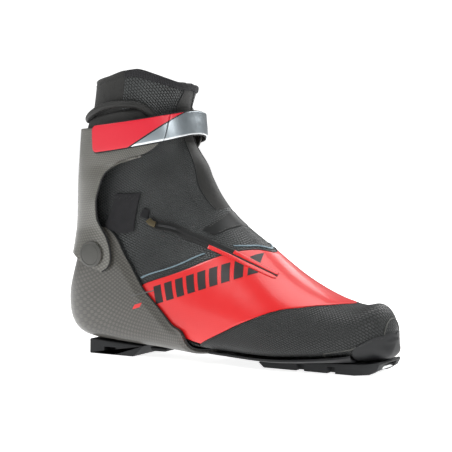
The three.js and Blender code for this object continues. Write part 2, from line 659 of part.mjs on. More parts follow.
// Over the shin the strap comes closer to the fabric than where it lies on the cuff.
const strapInside = (s, t, { angle }) => {
  const share = angle / (angle > 0 ? strapCorner : strapHinge);
  return strapLift - STRAP_FRONT_DROP * (1 - THREE.MathUtils.smoothstep(share, 0, 0.55));
};
const strapLifts = [strapInside, (...spot) => strapInside(...spot) + STRAP_THICKNESS];
const strapPieces = [
  ['strap_free_end', strapTip, strapCorner, RED_STRAP],
  ['strap_front', strapCorner, strapHinge, SILVER],
  ['strap_anchor_tab', strapHinge, strapAnchor, SILVER],
];
for (const [name, from, to, finish] of strapPieces) {
  add(name, bandLayer(
    strapLow, strapHigh, from, to, strapLifts, 2, { trim: STRAP_JOINT_GAP }), finish);
}
const patchLift = CUFF_STANDOFF + CUFF_WALL + GAP;
const patchFrom = place([97, 192]).angle;
const patchLow = (angle) => heightAt(angle, 2 - STRAP_WIDTH / 2);
const patchHigh = (angle) => heightAt(angle, STRAP_WIDTH / 2 - 3);
add('loop_patch', bandLayer(patchLow, patchHigh, strapTip - 0.1, patchFrom,
  [patchLift, patchLift + LOOP_PATCH], 2), WEBBING);

// A flat round head standing on the skin.
function head(u, angle, radius, inside, outside) {
  const disc = new THREE.CylinderGeometry(radius, radius, outside - inside, 16);
  const turn = new THREE.Quaternion().setFromUnitVectors(
    new THREE.Vector3(0, 1, 0), skinNormal(u, angle));
  const middle = lifted(u, angle, (inside + outside) / 2);
  return disc.applyQuaternion(turn).translate(middle.x, middle.y, middle.z);
}
const anchorTop = strapLift + STRAP_THICKNESS + GAP;
const anchorAngle = (strapAnchor + strapHinge) / 2;
for (const [name, drop] of [['lower', -6], ['upper', 6]]) {
  add(`strap_rivet_${name}`, head(
    heightAt(anchorAngle, drop), anchorAngle, RIVET_RADIUS, anchorTop, anchorTop + 1.6), STEEL);
}

// ---------------------------------------------------------------- zip, band, stripe, tab

const zipRoute = path([[97.3, 119.9], [115, 113.4], [134, 106.6], [153, 100.6], [171, 94.3],
  [188, 87.6], [202, 81.8], [213.9, 76.5]]);
const overlay = { inside: OVERLAY_GAP, outside: OVERLAY_GAP + OVERLAY };
const lipOffset = CHAIN_WIDTH / 2 + LIP_WIDTH / 2 + 1;
add('zip_lip_upper', strip(zipRoute, { ...overlay, width: LIP_WIDTH, offset: lipOffset }), FABRIC_BLACK);
add('zip_lip_lower', strip(zipRoute, { ...overlay, width: LIP_WIDTH, offset: -lipOffset }), FABRIC_BLACK);
add('zip_chain', strip(
  zipRoute, { inside: GAP, outside: GAP + CHAIN_RISE, width: CHAIN_WIDTH, steps: 20 }), FABRIC_BLACK);
const zipLength = skin(zipRoute(0).u, zipRoute(0).angle).distanceTo(skin(zipRoute(1).u, zipRoute(1).angle));
const sliderFloor = GAP + CHAIN_RISE + SLIDER_CLEARANCE;
const sliderTo = SLIDER_LENGTH / zipLength;
add('zip_slider', strip(zipRoute, { inside: sliderFloor, outside: sliderFloor + SLIDER_HEIGHT,
  width: SLIDER_WIDTH, steps: 2, from: 0.005, to: sliderTo }), BRASS);
add('zip_pull', strip(zipRoute, { inside: sliderFloor + 0.4, outside: sliderFloor + 1.8, width: 3,
  steps: 4, from: sliderTo + PULL_GAP / zipLength, to: sliderTo + PULL_LENGTH / zipLength }), STRIPE_GREY);
const garageRoute = path([[91, 126], [97, 123.6]]);
add('zip_garage', strip(
  garageRoute, { inside: GAP, outside: GAP + 1.4, width: 8, steps: 3, to: 0.97 }), WEBBING);

const bandLow = seam([[171, 115], [163, 111.5], [152, 104]]);
const bandHigh = seam([[157.5, 126], [154.5, 121.5], [149.5, 116.5], [144, 112]]);
const bandSide = place([149, 110]).angle;
add('instep_band', bandLayer(
  bandLow, bandHigh, bandSide, -bandSide, [overlay.inside, overlay.outside], 2), FABRIC_BLACK);

const stripeSeam = seam([[196.5, 97], [188.5, 99.5], [182, 99.5], [167, 98.5], [136.2, 86.8],
  [89, 67.9]]);
const stripeRear = place([93, 69.5]).angle;
const stripeZipRear = place([151, 93]).angle;
const stripeZipFront = place([173.5, 99.5]).angle;
function stripePiece(from, to) {
  const half = (angle, sign) => {
    const u = stripeSeam(angle);
    const speed = skin(u + 0.05, angle).distanceTo(skin(u - 0.05, angle)) / 0.1;
    return u + (sign * STRIPE_WIDTH) / 2 / speed;
  };
  return bandLayer((a) => half(a, -1), (a) => half(a, 1), from, to,
    [overlay.inside, overlay.outside], 1, { trim: 0 });
}
add('reflective_stripe_rear', stripePiece(stripeRear, stripeZipRear), STRIPE_GREY);
add('reflective_stripe_front', stripePiece(stripeZipFront, -stripeRear), STRIPE_GREY);

const tabCorners = [[68.2, 141.4], [90, 141.9], [56.5, 112], [84, 109.5]].map(place);
add('ankle_tab', layer((s, t) => {
  const [topLeft, topRight, lowLeft, lowRight] = tabCorners;
  const mix = (key) => THREE.MathUtils.lerp(
    THREE.MathUtils.lerp(topLeft[key], topRight[key], t),
    THREE.MathUtils.lerp(lowLeft[key], lowRight[key], t), s);
  return { u: mix('u'), angle: mix('angle') };
}, [GAP, GAP + 1.6], 5, 4), WEBBING);

const bindingLow = (angle) => rim(angle) - 0.33;
add('collar_binding', bandLayer(
  bindingLow, rim, SEAM_ANGLE, -SEAM_ANGLE, [GAP, GAP + 1.2], 2), WEBBING);

// ---------------------------------------------------------------- outsoles

const underPlate = SHELL_GAP + PLATE_WALL + 2 * GAP;
const underCup = SHELL_GAP + SHELL_WALL + GAP;
const toeX = SECTIONS[0][0] * SCALE.x;
// Height of the skin's sole line at a place along the boot.
function soleHeight(x) {
  const low = place([x / SCALE.x, 5]);
  return skin(low.u, Math.PI).z;
}
const along = (from, to, steps) => Array.from(
  { length: steps + 1 }, (_, k) => from + ((to - from) * k) / steps);
const barX = toeX - BAR_SETBACK;
const blockBack = toeX - FRONT_BLOCK_BACK;
const topLine = along(blockBack + 7, toeX - 4, 12).map((x) => [x, soleHeight(x) - underPlate]);
const frontOutline = [[toeX - FRONT_BLOCK_FLAT_BACK, 0], [toeX - 25, 0], [toeX - 12, 1.6],
  [toeX - 5.5, 5.5 * SCALE.z], [toeX - 3, 10.5 * SCALE.z], ...topLine.reverse(),
  [blockBack, soleHeight(blockBack) - underPlate - 1.5]];
const railFrom = TOE_OFFSET - 4 - RAIL_WIDTH / 2;
const railTo = railFrom + RAIL_WIDTH;
const barY = (railFrom + railTo) / 2 + 2;
const notchCuts = FLEX_NOTCHES.flatMap((setback) => [-1, 1].map((side) => {
  const edge = side < 0 ? railFrom : railTo;
  const x = toeX - setback - 20;
  return box(x, x + FLEX_NOTCH_WIDTH, edge - 7, edge + 7, -1, FLEX_NOTCH_HEIGHT);
}));
const barSlot = box(barX - BAR_SLOT_REACH, toeX + 10, barY - BAR_SLOT_WIDTH / 2, barY + BAR_SLOT_WIDTH / 2,
  -1, BAR_HEIGHT + 3.6);
const barEnd = BAR_SLOT_WIDTH / 2 + BAR_SEAT;
add('outsole_front', cut(extruded(frontOutline, railFrom, railTo), barSlot, ...notchCuts,
  crossPin(BAR_RADIUS + 0.3, barX, BAR_HEIGHT, barY - barEnd - 0.3, barY + barEnd + 0.3, 16)), RUBBER);
add('toe_bar', crossPin(BAR_RADIUS, barX, BAR_HEIGHT, barY - barEnd, barY + barEnd, 16), STEEL);

const heelEnd = HEEL_BLOCK_START + HEEL_BLOCK_LENGTH;
const heelTop = along(HEEL_BLOCK_START, heelEnd, 6).map((x) => [x, soleHeight(x) - underCup]);
const heelOutline = [[HEEL_BLOCK_START, 0], [heelEnd - 11, 0], ...heelTop.reverse()];
const windowX = HEEL_BLOCK_START + 15;
const windowCuts = [-1, 1].map((side) => box(windowX, windowX + HEEL_WINDOW_LENGTH,
  side * HEEL_BLOCK_WIDTH / 2 - 8, side * HEEL_BLOCK_WIDTH / 2 + 8, 1.5, 1.5 + HEEL_WINDOW_HEIGHT));
add('outsole_heel', cut(
  extruded(heelOutline, -HEEL_BLOCK_WIDTH / 2, HEEL_BLOCK_WIDTH / 2), ...windowCuts), RUBBER);

const underCorner = underCup + CUP_CORNER_LIFT;
const lugTop = along(LUG_START, LUG_START + LUG_LENGTH, 2).map(
  (x) => [x, soleHeight(x) - underCorner]);
const lugOutline = [[LUG_START + 2.5, lugTop[0][1] - LUG_DROP],
  [LUG_START + LUG_LENGTH - 1, lugTop[2][1] - LUG_DROP + 1], ...lugTop.reverse()];
add('arch_lug', extruded(lugOutline, -LUG_WIDTH / 2, LUG_WIDTH / 2), RUBBER);

// The origin is under the middle of the boot, on the ground.
const bounds = new THREE.Box3().setFromObject(boot);
boot.position.set(-(bounds.min.x + bounds.max.x) / 2, -(bounds.min.y + bounds.max.y) / 2, -bounds.min.z);
boot.updateMatrixWorld(true);

export default boot;
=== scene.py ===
"""A cross country skate boot for the right foot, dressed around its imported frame.

The soft upper, the carbon shell and the straps all follow one skin, the outer face of the fabric.
A place on the skin is (u, angle): u counts the upright-to-level sections from the toe, and the
angle goes round a section, 0 on the instep and shin ridge, pi under the sole and up the heel,
positive on the outer side. Sizes of the boot are in millimetres and turn to metres in the meshes.
"""
import logging
import math
from dataclasses import dataclass, field
from enum import Enum
from functools import partial
from typing import Callable, Sequence

import bpy
import numpy as np
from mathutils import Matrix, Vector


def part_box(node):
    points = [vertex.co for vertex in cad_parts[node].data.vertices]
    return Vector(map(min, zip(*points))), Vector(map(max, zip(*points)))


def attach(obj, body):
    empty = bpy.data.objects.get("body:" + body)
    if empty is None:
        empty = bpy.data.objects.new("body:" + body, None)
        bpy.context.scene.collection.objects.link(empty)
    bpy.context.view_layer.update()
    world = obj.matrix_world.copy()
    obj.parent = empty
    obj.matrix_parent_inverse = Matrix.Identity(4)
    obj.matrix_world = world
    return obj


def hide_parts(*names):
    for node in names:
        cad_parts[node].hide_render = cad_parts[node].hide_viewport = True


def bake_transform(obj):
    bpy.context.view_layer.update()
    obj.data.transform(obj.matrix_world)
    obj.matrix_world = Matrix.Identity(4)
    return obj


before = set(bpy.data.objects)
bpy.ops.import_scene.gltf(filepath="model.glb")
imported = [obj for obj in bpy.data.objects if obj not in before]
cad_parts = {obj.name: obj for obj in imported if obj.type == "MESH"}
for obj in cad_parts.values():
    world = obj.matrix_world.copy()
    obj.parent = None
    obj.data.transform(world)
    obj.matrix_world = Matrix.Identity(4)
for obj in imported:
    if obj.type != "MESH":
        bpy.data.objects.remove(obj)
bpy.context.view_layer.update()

log = logging.getLogger("boot")

Array = np.ndarray
Point2 = tuple[float, float]

MM = 0.001
FRAME_SHIFT = (-156.8333, -0.9336, 0.0)
FULL_TURN = 2 * math.pi

# Layers, as distances out from the skin
FABRIC = 1.4
LACE_TOP = -2.7
LACE_LAYER = 1.5
LINER_TOP = -5.5
LINER = 2.6
SHELL_GAP = 2.7
SHELL_WALL = 2.2
PLATE_WALL = 2.0
CUP_CORNER_LIFT = 1.6
CUFF_WALL = 2.2
CUFF_STANDOFF = 7.0
CUFF_LOBE_LIFT = 7.4
STRAP_LIFT = 10.9
STRAP_THICKNESS = 2.4
STRAP_WIDTH = 25.0
STRAP_FRONT_DROP = 3.5
PIVOT = (47.5, 89.0)

# Rows: top x z, bottom x z, outer and inner half width, centre shift, level of the widest point,
# squareness of the top and bottom halves.
SECTIONS = (
    (306, 27, 306, 27, 0, 0, 7, 0.5, 2, 2),
    (304.4, 39, 304, 19, 11, 10, 7, 0.45, 2, 2.2),
    (300, 50, 299.5, 16.5, 20, 18, 6.6, 0.42, 2.1, 2.5),
    (292, 56, 290, 15, 28.5, 25.5, 6, 0.38, 2.1, 3.2),
    (277, 54.5, 274, 14, 37, 32.5, 5, 0.34, 2.1, 3.6),
    (252, 61.5, 247, 12.5, 45, 41, 3, 0.32, 2, 3.8),
    (223, 77, 212, 11, 48, 48, 0, 0.31, 1.95, 4),
    (191, 101, 167, 12, 44.5, 44, 0, 0.32, 1.9, 4),
    (163.5, 121.5, 112, 14.5, 38.5, 37, 0, 0.34, 1.95, 4.2),
    (148, 139, 57, 17.2, 36, 36, 0, 0.36, 2, 4.4),
    (139, 153.5, 20, 22, 35.5, 36, 0, 0.38, 2.1, 3.6),
    (132.5, 166, 8, 44, 36, 36.5, 0, 0.42, 2.1, 2.7),
    (124.5, 176, 13, 78, 36.5, 37, 0, 0.46, 2.1, 2.1),
    (118.5, 186, 18.5, 106, 37, 37, 0, 0.48, 2.1, 2.1),
    (115.5, 198, 20.5, 150, 37.5, 37.5, 0, 0.5, 2.1, 2.1),
    (113.5, 212, 25, 196, 38, 38, 0, 0.5, 2.1, 2.1),
    (118, 228, 30, 228, 39.3, 39, 0, 0.5, 2.1, 2.1),
    (120, 247, 33, 250, 40.5, 40, 0, 0.5, 2.1, 2.1),
)


def smoothstep(value: Array, low: float, high: float) -> Array:
    """Eases a value from 0 at low to 1 at high.

    Args:
        value: The numbers to ease.
        low: Where the ease starts.
        high: Where the ease ends.

    Returns:
        Numbers from 0 to 1.
    """
    share = np.clip((value - low) / (high - low), 0.0, 1.0)
    return share * share * (3 - 2 * share)


def mix(low: Array, high: Array, share: Array) -> Array:
    """A value between low and high."""
    return low + (high - low) * share


class Skin:
    """The outer face of the fabric upper, a loft of flat sections."""

    def __init__(self) -> None:
        """Lays out the sections, with one turned over before the tip and one beyond the rim."""
        rows = np.array(SECTIONS, dtype=float)
        head = rows[1].copy()
        head[:4] = rows[1][[2, 3, 0, 1]]
        head[4:6] *= -1
        self.last = len(rows) - 1
        self.table = np.vstack([head, rows, 2 * rows[-1] - rows[-2]])
        girth_angles = np.linspace(0, math.pi, 721)
        line = self.point(np.full(721, 7.5), girth_angles)
        steps = np.linalg.norm(np.diff(line, axis=0), axis=1)
        self.girth_angles = girth_angles
        self.girths = np.concatenate([[0.0], np.cumsum(steps)])

    def section(self, u: Array) -> Array:
        """The section at u, blended from its four neighbours."""
        whole = np.clip(np.floor(u).astype(int), 0, self.last - 1)
        part = (u - whole)[:, None]
        a, b, c, d = (self.table[whole + k] for k in range(4))
        return b + 0.5 * part * (c - a + part * (
            2 * a - 5 * b + 4 * c - d + part * (3 * (b - c) + d - a)))

    @staticmethod
    def reach(section: Array, angle: Array) -> Array:
        """Distance from the middle of a section to the skin.

        Args:
            section: Section rows.
            angle: One angle for each row.

        Returns:
            Distances in millimetres.
        """
        line = np.hypot(section[:, 0] - section[:, 2], section[:, 1] - section[:, 3])
        cos, sin = np.cos(angle), np.sin(angle)
        upper = cos >= 0
        height = line * np.where(upper, 1 - section[:, 7], section[:, 7])
        square = np.where(upper, section[:, 8], section[:, 9])
        width = np.where(sin >= 0, section[:, 4], section[:, 5])
        flat = (height < 1e-6) | (width < 1e-6)
        height, width = np.where(flat, 1.0, height), np.where(flat, 1.0, width)
        total = np.abs(cos / height) ** square + np.abs(sin / width) ** square
        return np.where(flat, 0.0, total ** (-1 / square))

    def point(self, u: Array, angle: Array) -> Array:
        """Points of the skin, in millimetres."""
        section = self.section(u)
        top, bottom = section[:, 0:2], section[:, 2:4]
        line = np.maximum(np.linalg.norm(top - bottom, axis=1), 1e-6)
        radius = self.reach(section, angle)
        along = (section[:, 7] + radius * np.cos(angle) / line)[:, None]
        side_view = bottom + (top - bottom) * along
        return np.column_stack([
            side_view[:, 0], section[:, 6] - radius * np.sin(angle), side_view[:, 1]])

    def normal(self, u: Array, angle: Array) -> Array:
        """Outward unit normals of the skin."""
        step = 0.02
        middle = np.clip(u, 0.12, self.last - step)
        along = self.point(middle + step, angle) - self.point(middle - step, angle)
        around = self.point(middle, angle + step) - self.point(middle, angle - step)
        normal = np.cross(along, around)
        return normal / np.maximum(np.linalg.norm(normal, axis=1, keepdims=True), 1e-9)

    def lifted(self, u: Array, angle: Array, lift: Array) -> Array:
        """Points at a distance out from the skin."""
        u, angle, lift = np.broadcast_arrays(np.asarray(u, float), angle, lift)
        tip = u < 1e-6
        points = self.point(u, angle) + self.normal(u, angle) * lift[:, None]
        nose = self.point(np.zeros_like(u), np.zeros_like(u))
        nose[:, 0] += lift
        return np.where(tip[:, None], nose, points)

    def place(self, spot: Point2) -> tuple[float, float]:
        """The (u, angle) on the outer side that a side-view point falls on.

        Args:
            spot: x and z in millimetres.

        Returns:
            u and the angle.
        """
        x, z = spot
        low, high = 0.05, float(self.last)
        for _ in range(34):
            u = (low + high) / 2
            row = self.section(np.array([u]))[0]
            if (row[0] - row[2]) * (z - row[3]) - (row[1] - row[3]) * (x - row[2]) > 0:
                low = u
            else:
                high = u
        u = (low + high) / 2
        section = self.section(np.array([u]))
        row = section[0]
        line = math.hypot(row[0] - row[2], row[1] - row[3])
        up = ((x - row[2]) * (row[0] - row[2]) + (z - row[3]) * (row[1] - row[3])) / line
        angles = np.linspace(0, math.pi, 2001)
        heights = row[7] * line + self.reach(np.repeat(section, 2001, 0), angles) * np.cos(angles)
        return u, float(np.interp(-up, -heights, angles))

    def speed(self, u: Array, angle: Array) -> Array:
        """Millimetres along the skin for one step of u."""
        ahead, behind = self.point(u + 0.05, angle), self.point(u - 0.05, angle)
        return np.linalg.norm(ahead - behind, axis=1) / 0.1

    def angle_at(self, girth: Array) -> Array:
        """The angle at a length round the instep from the ridge."""
        return np.interp(girth, self.girths, self.girth_angles)

    def girth_at(self, angle: Array) -> Array:
        """The length round the instep from the ridge to an angle."""
        return np.interp(angle, self.girth_angles, self.girths)


SKIN = Skin()
Along = Callable[[Array], Array]
Route = Callable[[Array], tuple[Array, Array]]
AddNode = Callable[..., bpy.types.NodeSocket]


def smooth_curve(keys: Sequence[float], values: Sequence[float], flat_ends: bool = False) -> Along:
    """A smooth curve through pairs in growing key order, flat beyond its ends.

    Args:
        keys: Growing keys.
        values: A value for each key.
        flat_ends: Whether the curve leaves its ends level.

    Returns:
        A function of an array of keys.
    """
    knots, heights = np.array(keys, float), np.array(values, float)
    last = len(knots) - 1
    low, high = np.maximum(np.arange(last + 1) - 1, 0), np.minimum(np.arange(last + 1) + 1, last)
    slopes = (heights[high] - heights[low]) / (knots[high] - knots[low])
    if flat_ends:
        slopes[0] = slopes[-1] = 0

    def curve(key: Array) -> Array:
        """The curve's height at each key."""
        key = np.clip(np.asarray(key, float), knots[0], knots[-1])
        k = np.clip(np.searchsorted(knots, key, side="right") - 1, 0, last - 1)
        span = knots[k + 1] - knots[k]
        t = (key - knots[k]) / span
        return (heights[k] * (1 + 2 * t) * (1 - t) ** 2 + slopes[k] * span * t * (1 - t) ** 2
                + heights[k + 1] * t * t * (3 - 2 * t) - slopes[k + 1] * span * t * t * (1 - t))

    return curve


def folded(angle: Array) -> Array:
    """The same angle on the outer side."""
    return np.abs(np.arctan2(np.sin(angle), np.cos(angle)))


def seam(*points: Point2) -> Along:
    """A seam drawn in the side view, the same on both sides: it gives u at an angle."""
    places = sorted((SKIN.place(p) for p in points), key=lambda spot: spot[1])
    curve = smooth_curve([a for _, a in places], [u for u, _ in places], True)
    return lambda angle: curve(folded(angle))


def path(*points: Point2) -> Route:
    """A smooth route through side-view points, as places on the skin for a share from 0 to 1."""
    places = [SKIN.place(p) for p in points]
    keys = np.linspace(0, 1, len(places))
    u = smooth_curve(keys, [p[0] for p in places])
    angle = smooth_curve(keys, [p[1] for p in places])
    return lambda s: (u(s), angle(s))


def shifted(line: Along, distance: float) -> Along:
    """A seam moved towards the leg by millimetres."""
    return lambda angle: line(angle) + distance / SKIN.speed(line(angle), angle)


def on_side(route: Route, sign: int) -> Route:
    """The same route on the outer side for 1, or on the inner side for -1."""
    def line(share: Array) -> tuple[Array, Array]:
        """Places along the route."""
        u, angle = route(share)
        return u, sign * angle

    return line


def level_seam(height: float) -> Along:
    """A seam where a plane square to the ankle's fold line meets the skin.

    Args:
        height: How far the plane is along the fold's normal, in millimetres.

    Returns:
        u at an angle.
    """
    points = []
    for x in (14, 32, 52, 76, 100, 120, 138, 152, 163):
        z = (height - FOLD_NORMAL[0] * x) / FOLD_NORMAL[1]
        u, angle = SKIN.place((x, z))
        if 0.02 < angle < math.pi - 0.02:
            points.append((angle, u))
    for angle in (0.0, math.pi):
        low, high = 5.0, 17.0
        for _ in range(30):
            u = (low + high) / 2
            x, _, z = SKIN.point(np.array([u]), np.array([angle]))[0]
            if FOLD_NORMAL[0] * x + FOLD_NORMAL[1] * z < height:
                low = u
            else:
                high = u
        points.append((angle, (low + high) / 2))
    points.sort()
    curve = smooth_curve([a for a, _ in points], [u for _, u in points], True)
    return lambda angle: curve(folded(angle))


# The ankle folds between two planes square to this side-view direction.
FOLD_NORMAL = (-0.314, 0.949)
FOLD_START = 76.0
FOLD_END = 137.0
SOLE_SPLIT = (150.0, 12.6)
SEAM_ANGLE = 1.5
RIM_INNER_DROP = 0.5

toe_seam = seam((272, 56.5), (261, 55.5), (242.5, 54), (228, 52.3), (211, 46.7), (182.5, 34.3),
                (147, 16.6), SOLE_SPLIT)
raw_red_top = seam((200, 94), (191.5, 96.5), (181, 96), (146, 84.3), (104, 69), (89, 61),
                   (97, 48), (120, 28), (144, 17.2), SOLE_SPLIT)
RED_CORNER = SKIN.place((147, 16.6))[1]
outer_rim = seam((118, 234), (106, 240), (89, 245), (80, 244.5), (58, 239), (31, 234))
fold_low = level_seam(FOLD_START - 2)
fold_high = level_seam(FOLD_END + 2)


def red_top(angle: Array) -> Array:
    """The top edge of the red panel, down to the toe seam under the arch."""
    open_edge = np.maximum(raw_red_top(angle), toe_seam(angle) + 0.02)
    return np.where(folded(angle) >= RED_CORNER, toe_seam(angle), open_edge)


def rim(angle: Array) -> Array:
    """The collar's top edge, a little lower on the inner side."""
    return outer_rim(angle) - RIM_INNER_DROP * np.maximum(0, -np.sin(angle))


front_edge = smooth_curve((8, 10, 12, 13.7, 15, 16.2), (0.15, 0.13, 0.11, 0.14, 0.27, 0.16))


def strip_edge(low: Along, high: Along, sign: int = 1) -> Along:
    """The edge of the smooth front strip, as an angle for a share from one seam to the other."""
    start = np.array([0.2])
    first, last = float(low(start)[0]), float(high(start)[0])
    return lambda s: sign * front_edge(mix(first, last, np.asarray(s, float)))


def toe_tip(angle: Array) -> Array:
    """The very tip of the toe."""
    return np.zeros_like(np.asarray(angle, float))


# ------------------------------------------------------------------ modelling


def active(piece: bpy.types.Object) -> None:
    """Makes one object the only selected one."""
    bpy.ops.object.select_all(action="DESELECT")
    bpy.context.view_layer.objects.active = piece
    piece.select_set(True)


def to_metres(points: Array) -> Array:
    """Points of the boot's own frame in millimetres, in metres in the shared frame."""
    return (points + np.array(FRAME_SHIFT)) * MM


class Cloth:
    """A flat sheet laid over part of the skin, which gives each place its place on the flat."""

    def __init__(self, u_range: Point2, angle_range: Point2, rows: int = 56,
                 cols: int = 80) -> None:
        """Unwraps the part of the skin once.

        Args:
            u_range: First and last u.
            angle_range: First and last angle.
            rows: Cells along u.
            cols: Cells round.
        """
        self.u_range, self.angle_range = u_range, angle_range
        self.shape = (rows + 1, cols + 1)
        s, t = np.meshgrid(np.linspace(0, 1, rows + 1), np.linspace(0, 1, cols + 1), indexing="ij")
        u, angle = mix(*u_range, s.ravel()), mix(*angle_range, t.ravel())
        points = SKIN.point(u, angle)
        bpy.ops.object.select_all(action="DESELECT")
        bpy.ops.mesh.primitive_grid_add(x_subdivisions=cols, y_subdivisions=rows, size=1)
        sheet = bpy.context.object
        corners = vertex_array(sheet.data)
        i = np.rint((corners[:, 1] + 0.5) * rows).astype(int)
        j = np.rint((corners[:, 0] + 0.5) * cols).astype(int)
        index = i * (cols + 1) + j
        sheet.data.vertices.foreach_set("co", (points[index] * MM).ravel())
        in_edit_mode(lambda: bpy.ops.uv.unwrap(method="ANGLE_BASED", margin=0.0))
        loops = np.zeros(len(sheet.data.loops), dtype=np.int32)
        sheet.data.loops.foreach_get("vertex_index", loops)
        flat = np.zeros(len(loops) * 2)
        sheet.data.uv_layers.active.data.foreach_get("uv", flat)
        by_vertex = np.zeros((len(corners), 2))
        by_vertex[loops] = flat.reshape(-1, 2)
        self.flat = np.zeros((len(points), 2))
        self.flat[index] = by_vertex
        self._true_up(points)
        mesh = sheet.data
        bpy.data.objects.remove(sheet)
        bpy.data.meshes.remove(mesh)

    def _true_up(self, points: Array) -> None:
        """Scales the flat to metres and turns it so that its first axis runs to the toe."""
        grid = points.reshape(*self.shape, 3)
        flat = self.flat.reshape(*self.shape, 2)
        da, db = np.diff(grid, axis=0)[:, :-1], np.diff(grid, axis=1)[:-1]
        fa, fb = np.diff(flat, axis=0)[:, :-1], np.diff(flat, axis=1)[:-1]
        area = np.linalg.norm(np.cross(da, db), axis=2).sum()
        flat_area = np.abs(fa[..., 0] * fb[..., 1] - fa[..., 1] * fb[..., 0]).sum()
        self.flat *= math.sqrt(area / flat_area) * MM
        outer = points[:, 1] < np.quantile(points[:, 1], 0.35)
        side = np.column_stack([points[outer][:, [0, 2]], np.ones(outer.sum())])
        fit = np.linalg.lstsq(side, self.flat[outer], rcond=None)[0][:2].T
        if np.linalg.det(fit) < 0:
            self.flat[:, 0] *= -1
            fit[0] *= -1
        turn = math.atan2(fit[1, 0] - fit[0, 1], fit[0, 0] + fit[1, 1])
        cos, sin = math.cos(-turn), math.sin(-turn)
        self.flat = self.flat @ np.array([[cos, -sin], [sin, cos]]).T

    def at(self, u: Array, angle: Array) -> Array:
        """Places on the flat, in metres."""
        rows, cols = self.shape[0] - 1, self.shape[1] - 1
        s = np.clip((u - self.u_range[0]) / (self.u_range[1] - self.u_range[0]), 0, 1) * rows
        span = self.angle_range[1] - self.angle_range[0]
        t = np.clip((angle - self.angle_range[0]) / span, 0, 1) * cols
        i, j = np.minimum(s.astype(int), rows - 1), np.minimum(t.astype(int), cols - 1)
        a, b = (s - i)[:, None], (t - j)[:, None]
        flat = self.flat.reshape(*self.shape, 2)
        low = mix(flat[i, j], flat[i, j + 1], b)
        high = mix(flat[i + 1, j], flat[i + 1, j + 1], b)
        return mix(low, high, a)


def vertex_array(mesh: bpy.types.Mesh) -> Array:
    """The vertices of a mesh as an array."""
    flat = np.zeros(len(mesh.vertices) * 3)
    mesh.vertices.foreach_get("co", flat)
    return flat.reshape(-1, 3)


def shaped_grid(name: str, point: Callable[[Array, Array], Array], rows: int, cols: int,
                flat: Callable[[Array, Array], Array] | None = None) -> bpy.types.Object:
    """A grid whose corners are moved to their places, closed where its edges meet.

    Args:
        name: The piece's name.
        point: Gives points in millimetres for shares s along the rows and t along the columns.
        rows: Cells along s.
        cols: Cells along t.
        flat: Gives places on the flat in metres; lengths along the middle lines if left out.

    Returns:
        The new object, at the origin.
    """
    bpy.ops.object.select_all(action="DESELECT")
    bpy.ops.mesh.primitive_grid_add(x_subdivisions=cols, y_subdivisions=rows, size=1)
    piece = bpy.context.object
    piece.name = piece.data.name = name
    corners = vertex_array(piece.data)
    i = np.rint((corners[:, 1] + 0.5) * rows).astype(int)
    j = np.rint((corners[:, 0] + 0.5) * cols).astype(int)
    s, t = i / rows, j / cols
    places = to_metres(point(s, t))
    if flat is None:
        table = np.zeros((rows + 1, cols + 1, 3))
        table[i, j] = places
        over = np.linalg.norm(np.diff(table[rows // 2], axis=0), axis=1)
        down = np.linalg.norm(np.diff(table[:, cols // 2], axis=0), axis=1)
        over, down = (np.concatenate([[0.0], np.cumsum(row)]) for row in (over, down))
        laid = np.column_stack([over[j], down[i]])
    else:
        laid = flat(s, t)
    loops = np.zeros(len(piece.data.loops), dtype=np.int32)
    piece.data.loops.foreach_get("vertex_index", loops)
    piece.data.uv_layers.active.data.foreach_set("uv", laid[loops].ravel())
    piece.data.vertices.foreach_set("co", places.ravel())
    in_edit_mode(lambda: bpy.ops.mesh.remove_doubles(threshold=1e-5))
    return piece


def face_out(piece: bpy.types.Object) -> None:
    """Turns the faces of a closed piece outwards."""
    active(piece)
    in_edit_mode(lambda: bpy.ops.mesh.normals_make_consistent(inside=False))


def in_edit_mode(*steps: Callable[[], object]) -> None:
    """Runs operators on all of the active mesh."""
    bpy.ops.object.mode_set(mode="EDIT")
    bpy.ops.mesh.select_all(action="SELECT")
    for step in steps:
        step()
    bpy.ops.object.mode_set(mode="OBJECT")


def apply_all(piece: bpy.types.Object) -> None:
    """Applies every modifier of a piece, in order."""
    active(piece)
    for modifier in list(piece.modifiers):
        bpy.ops.object.modifier_apply(modifier=modifier.name)


def bevel(piece: bpy.types.Object, width: float, segments: int, sharper: float) -> None:
    """Adds a bevel in millimetres to the edges sharper than an angle in degrees."""
    edge = piece.modifiers.new("edge", "BEVEL")
    edge.width = width * MM
    edge.segments = segments
    edge.limit_method = "ANGLE"
    edge.angle_limit = math.radians(sharper)


def thicken(piece: bpy.types.Object, wall: float, rounding: float = 0.35,
            segments: int = 2) -> None:
    """Gives an open sheet its wall, inwards, and rounds its edges.

    Args:
        piece: The sheet.
        wall: Thickness in millimetres.
        rounding: Width of the rounded edge in millimetres.
        segments: Facets over the edge.
    """
    solid = piece.modifiers.new("wall", "SOLIDIFY")
    solid.thickness = wall * MM
    solid.offset = -1
    if rounding:
        bevel(piece, min(rounding, wall * 0.45), segments, 50)
    apply_all(piece)
    bpy.ops.object.shade_smooth_by_angle(angle=math.radians(40))


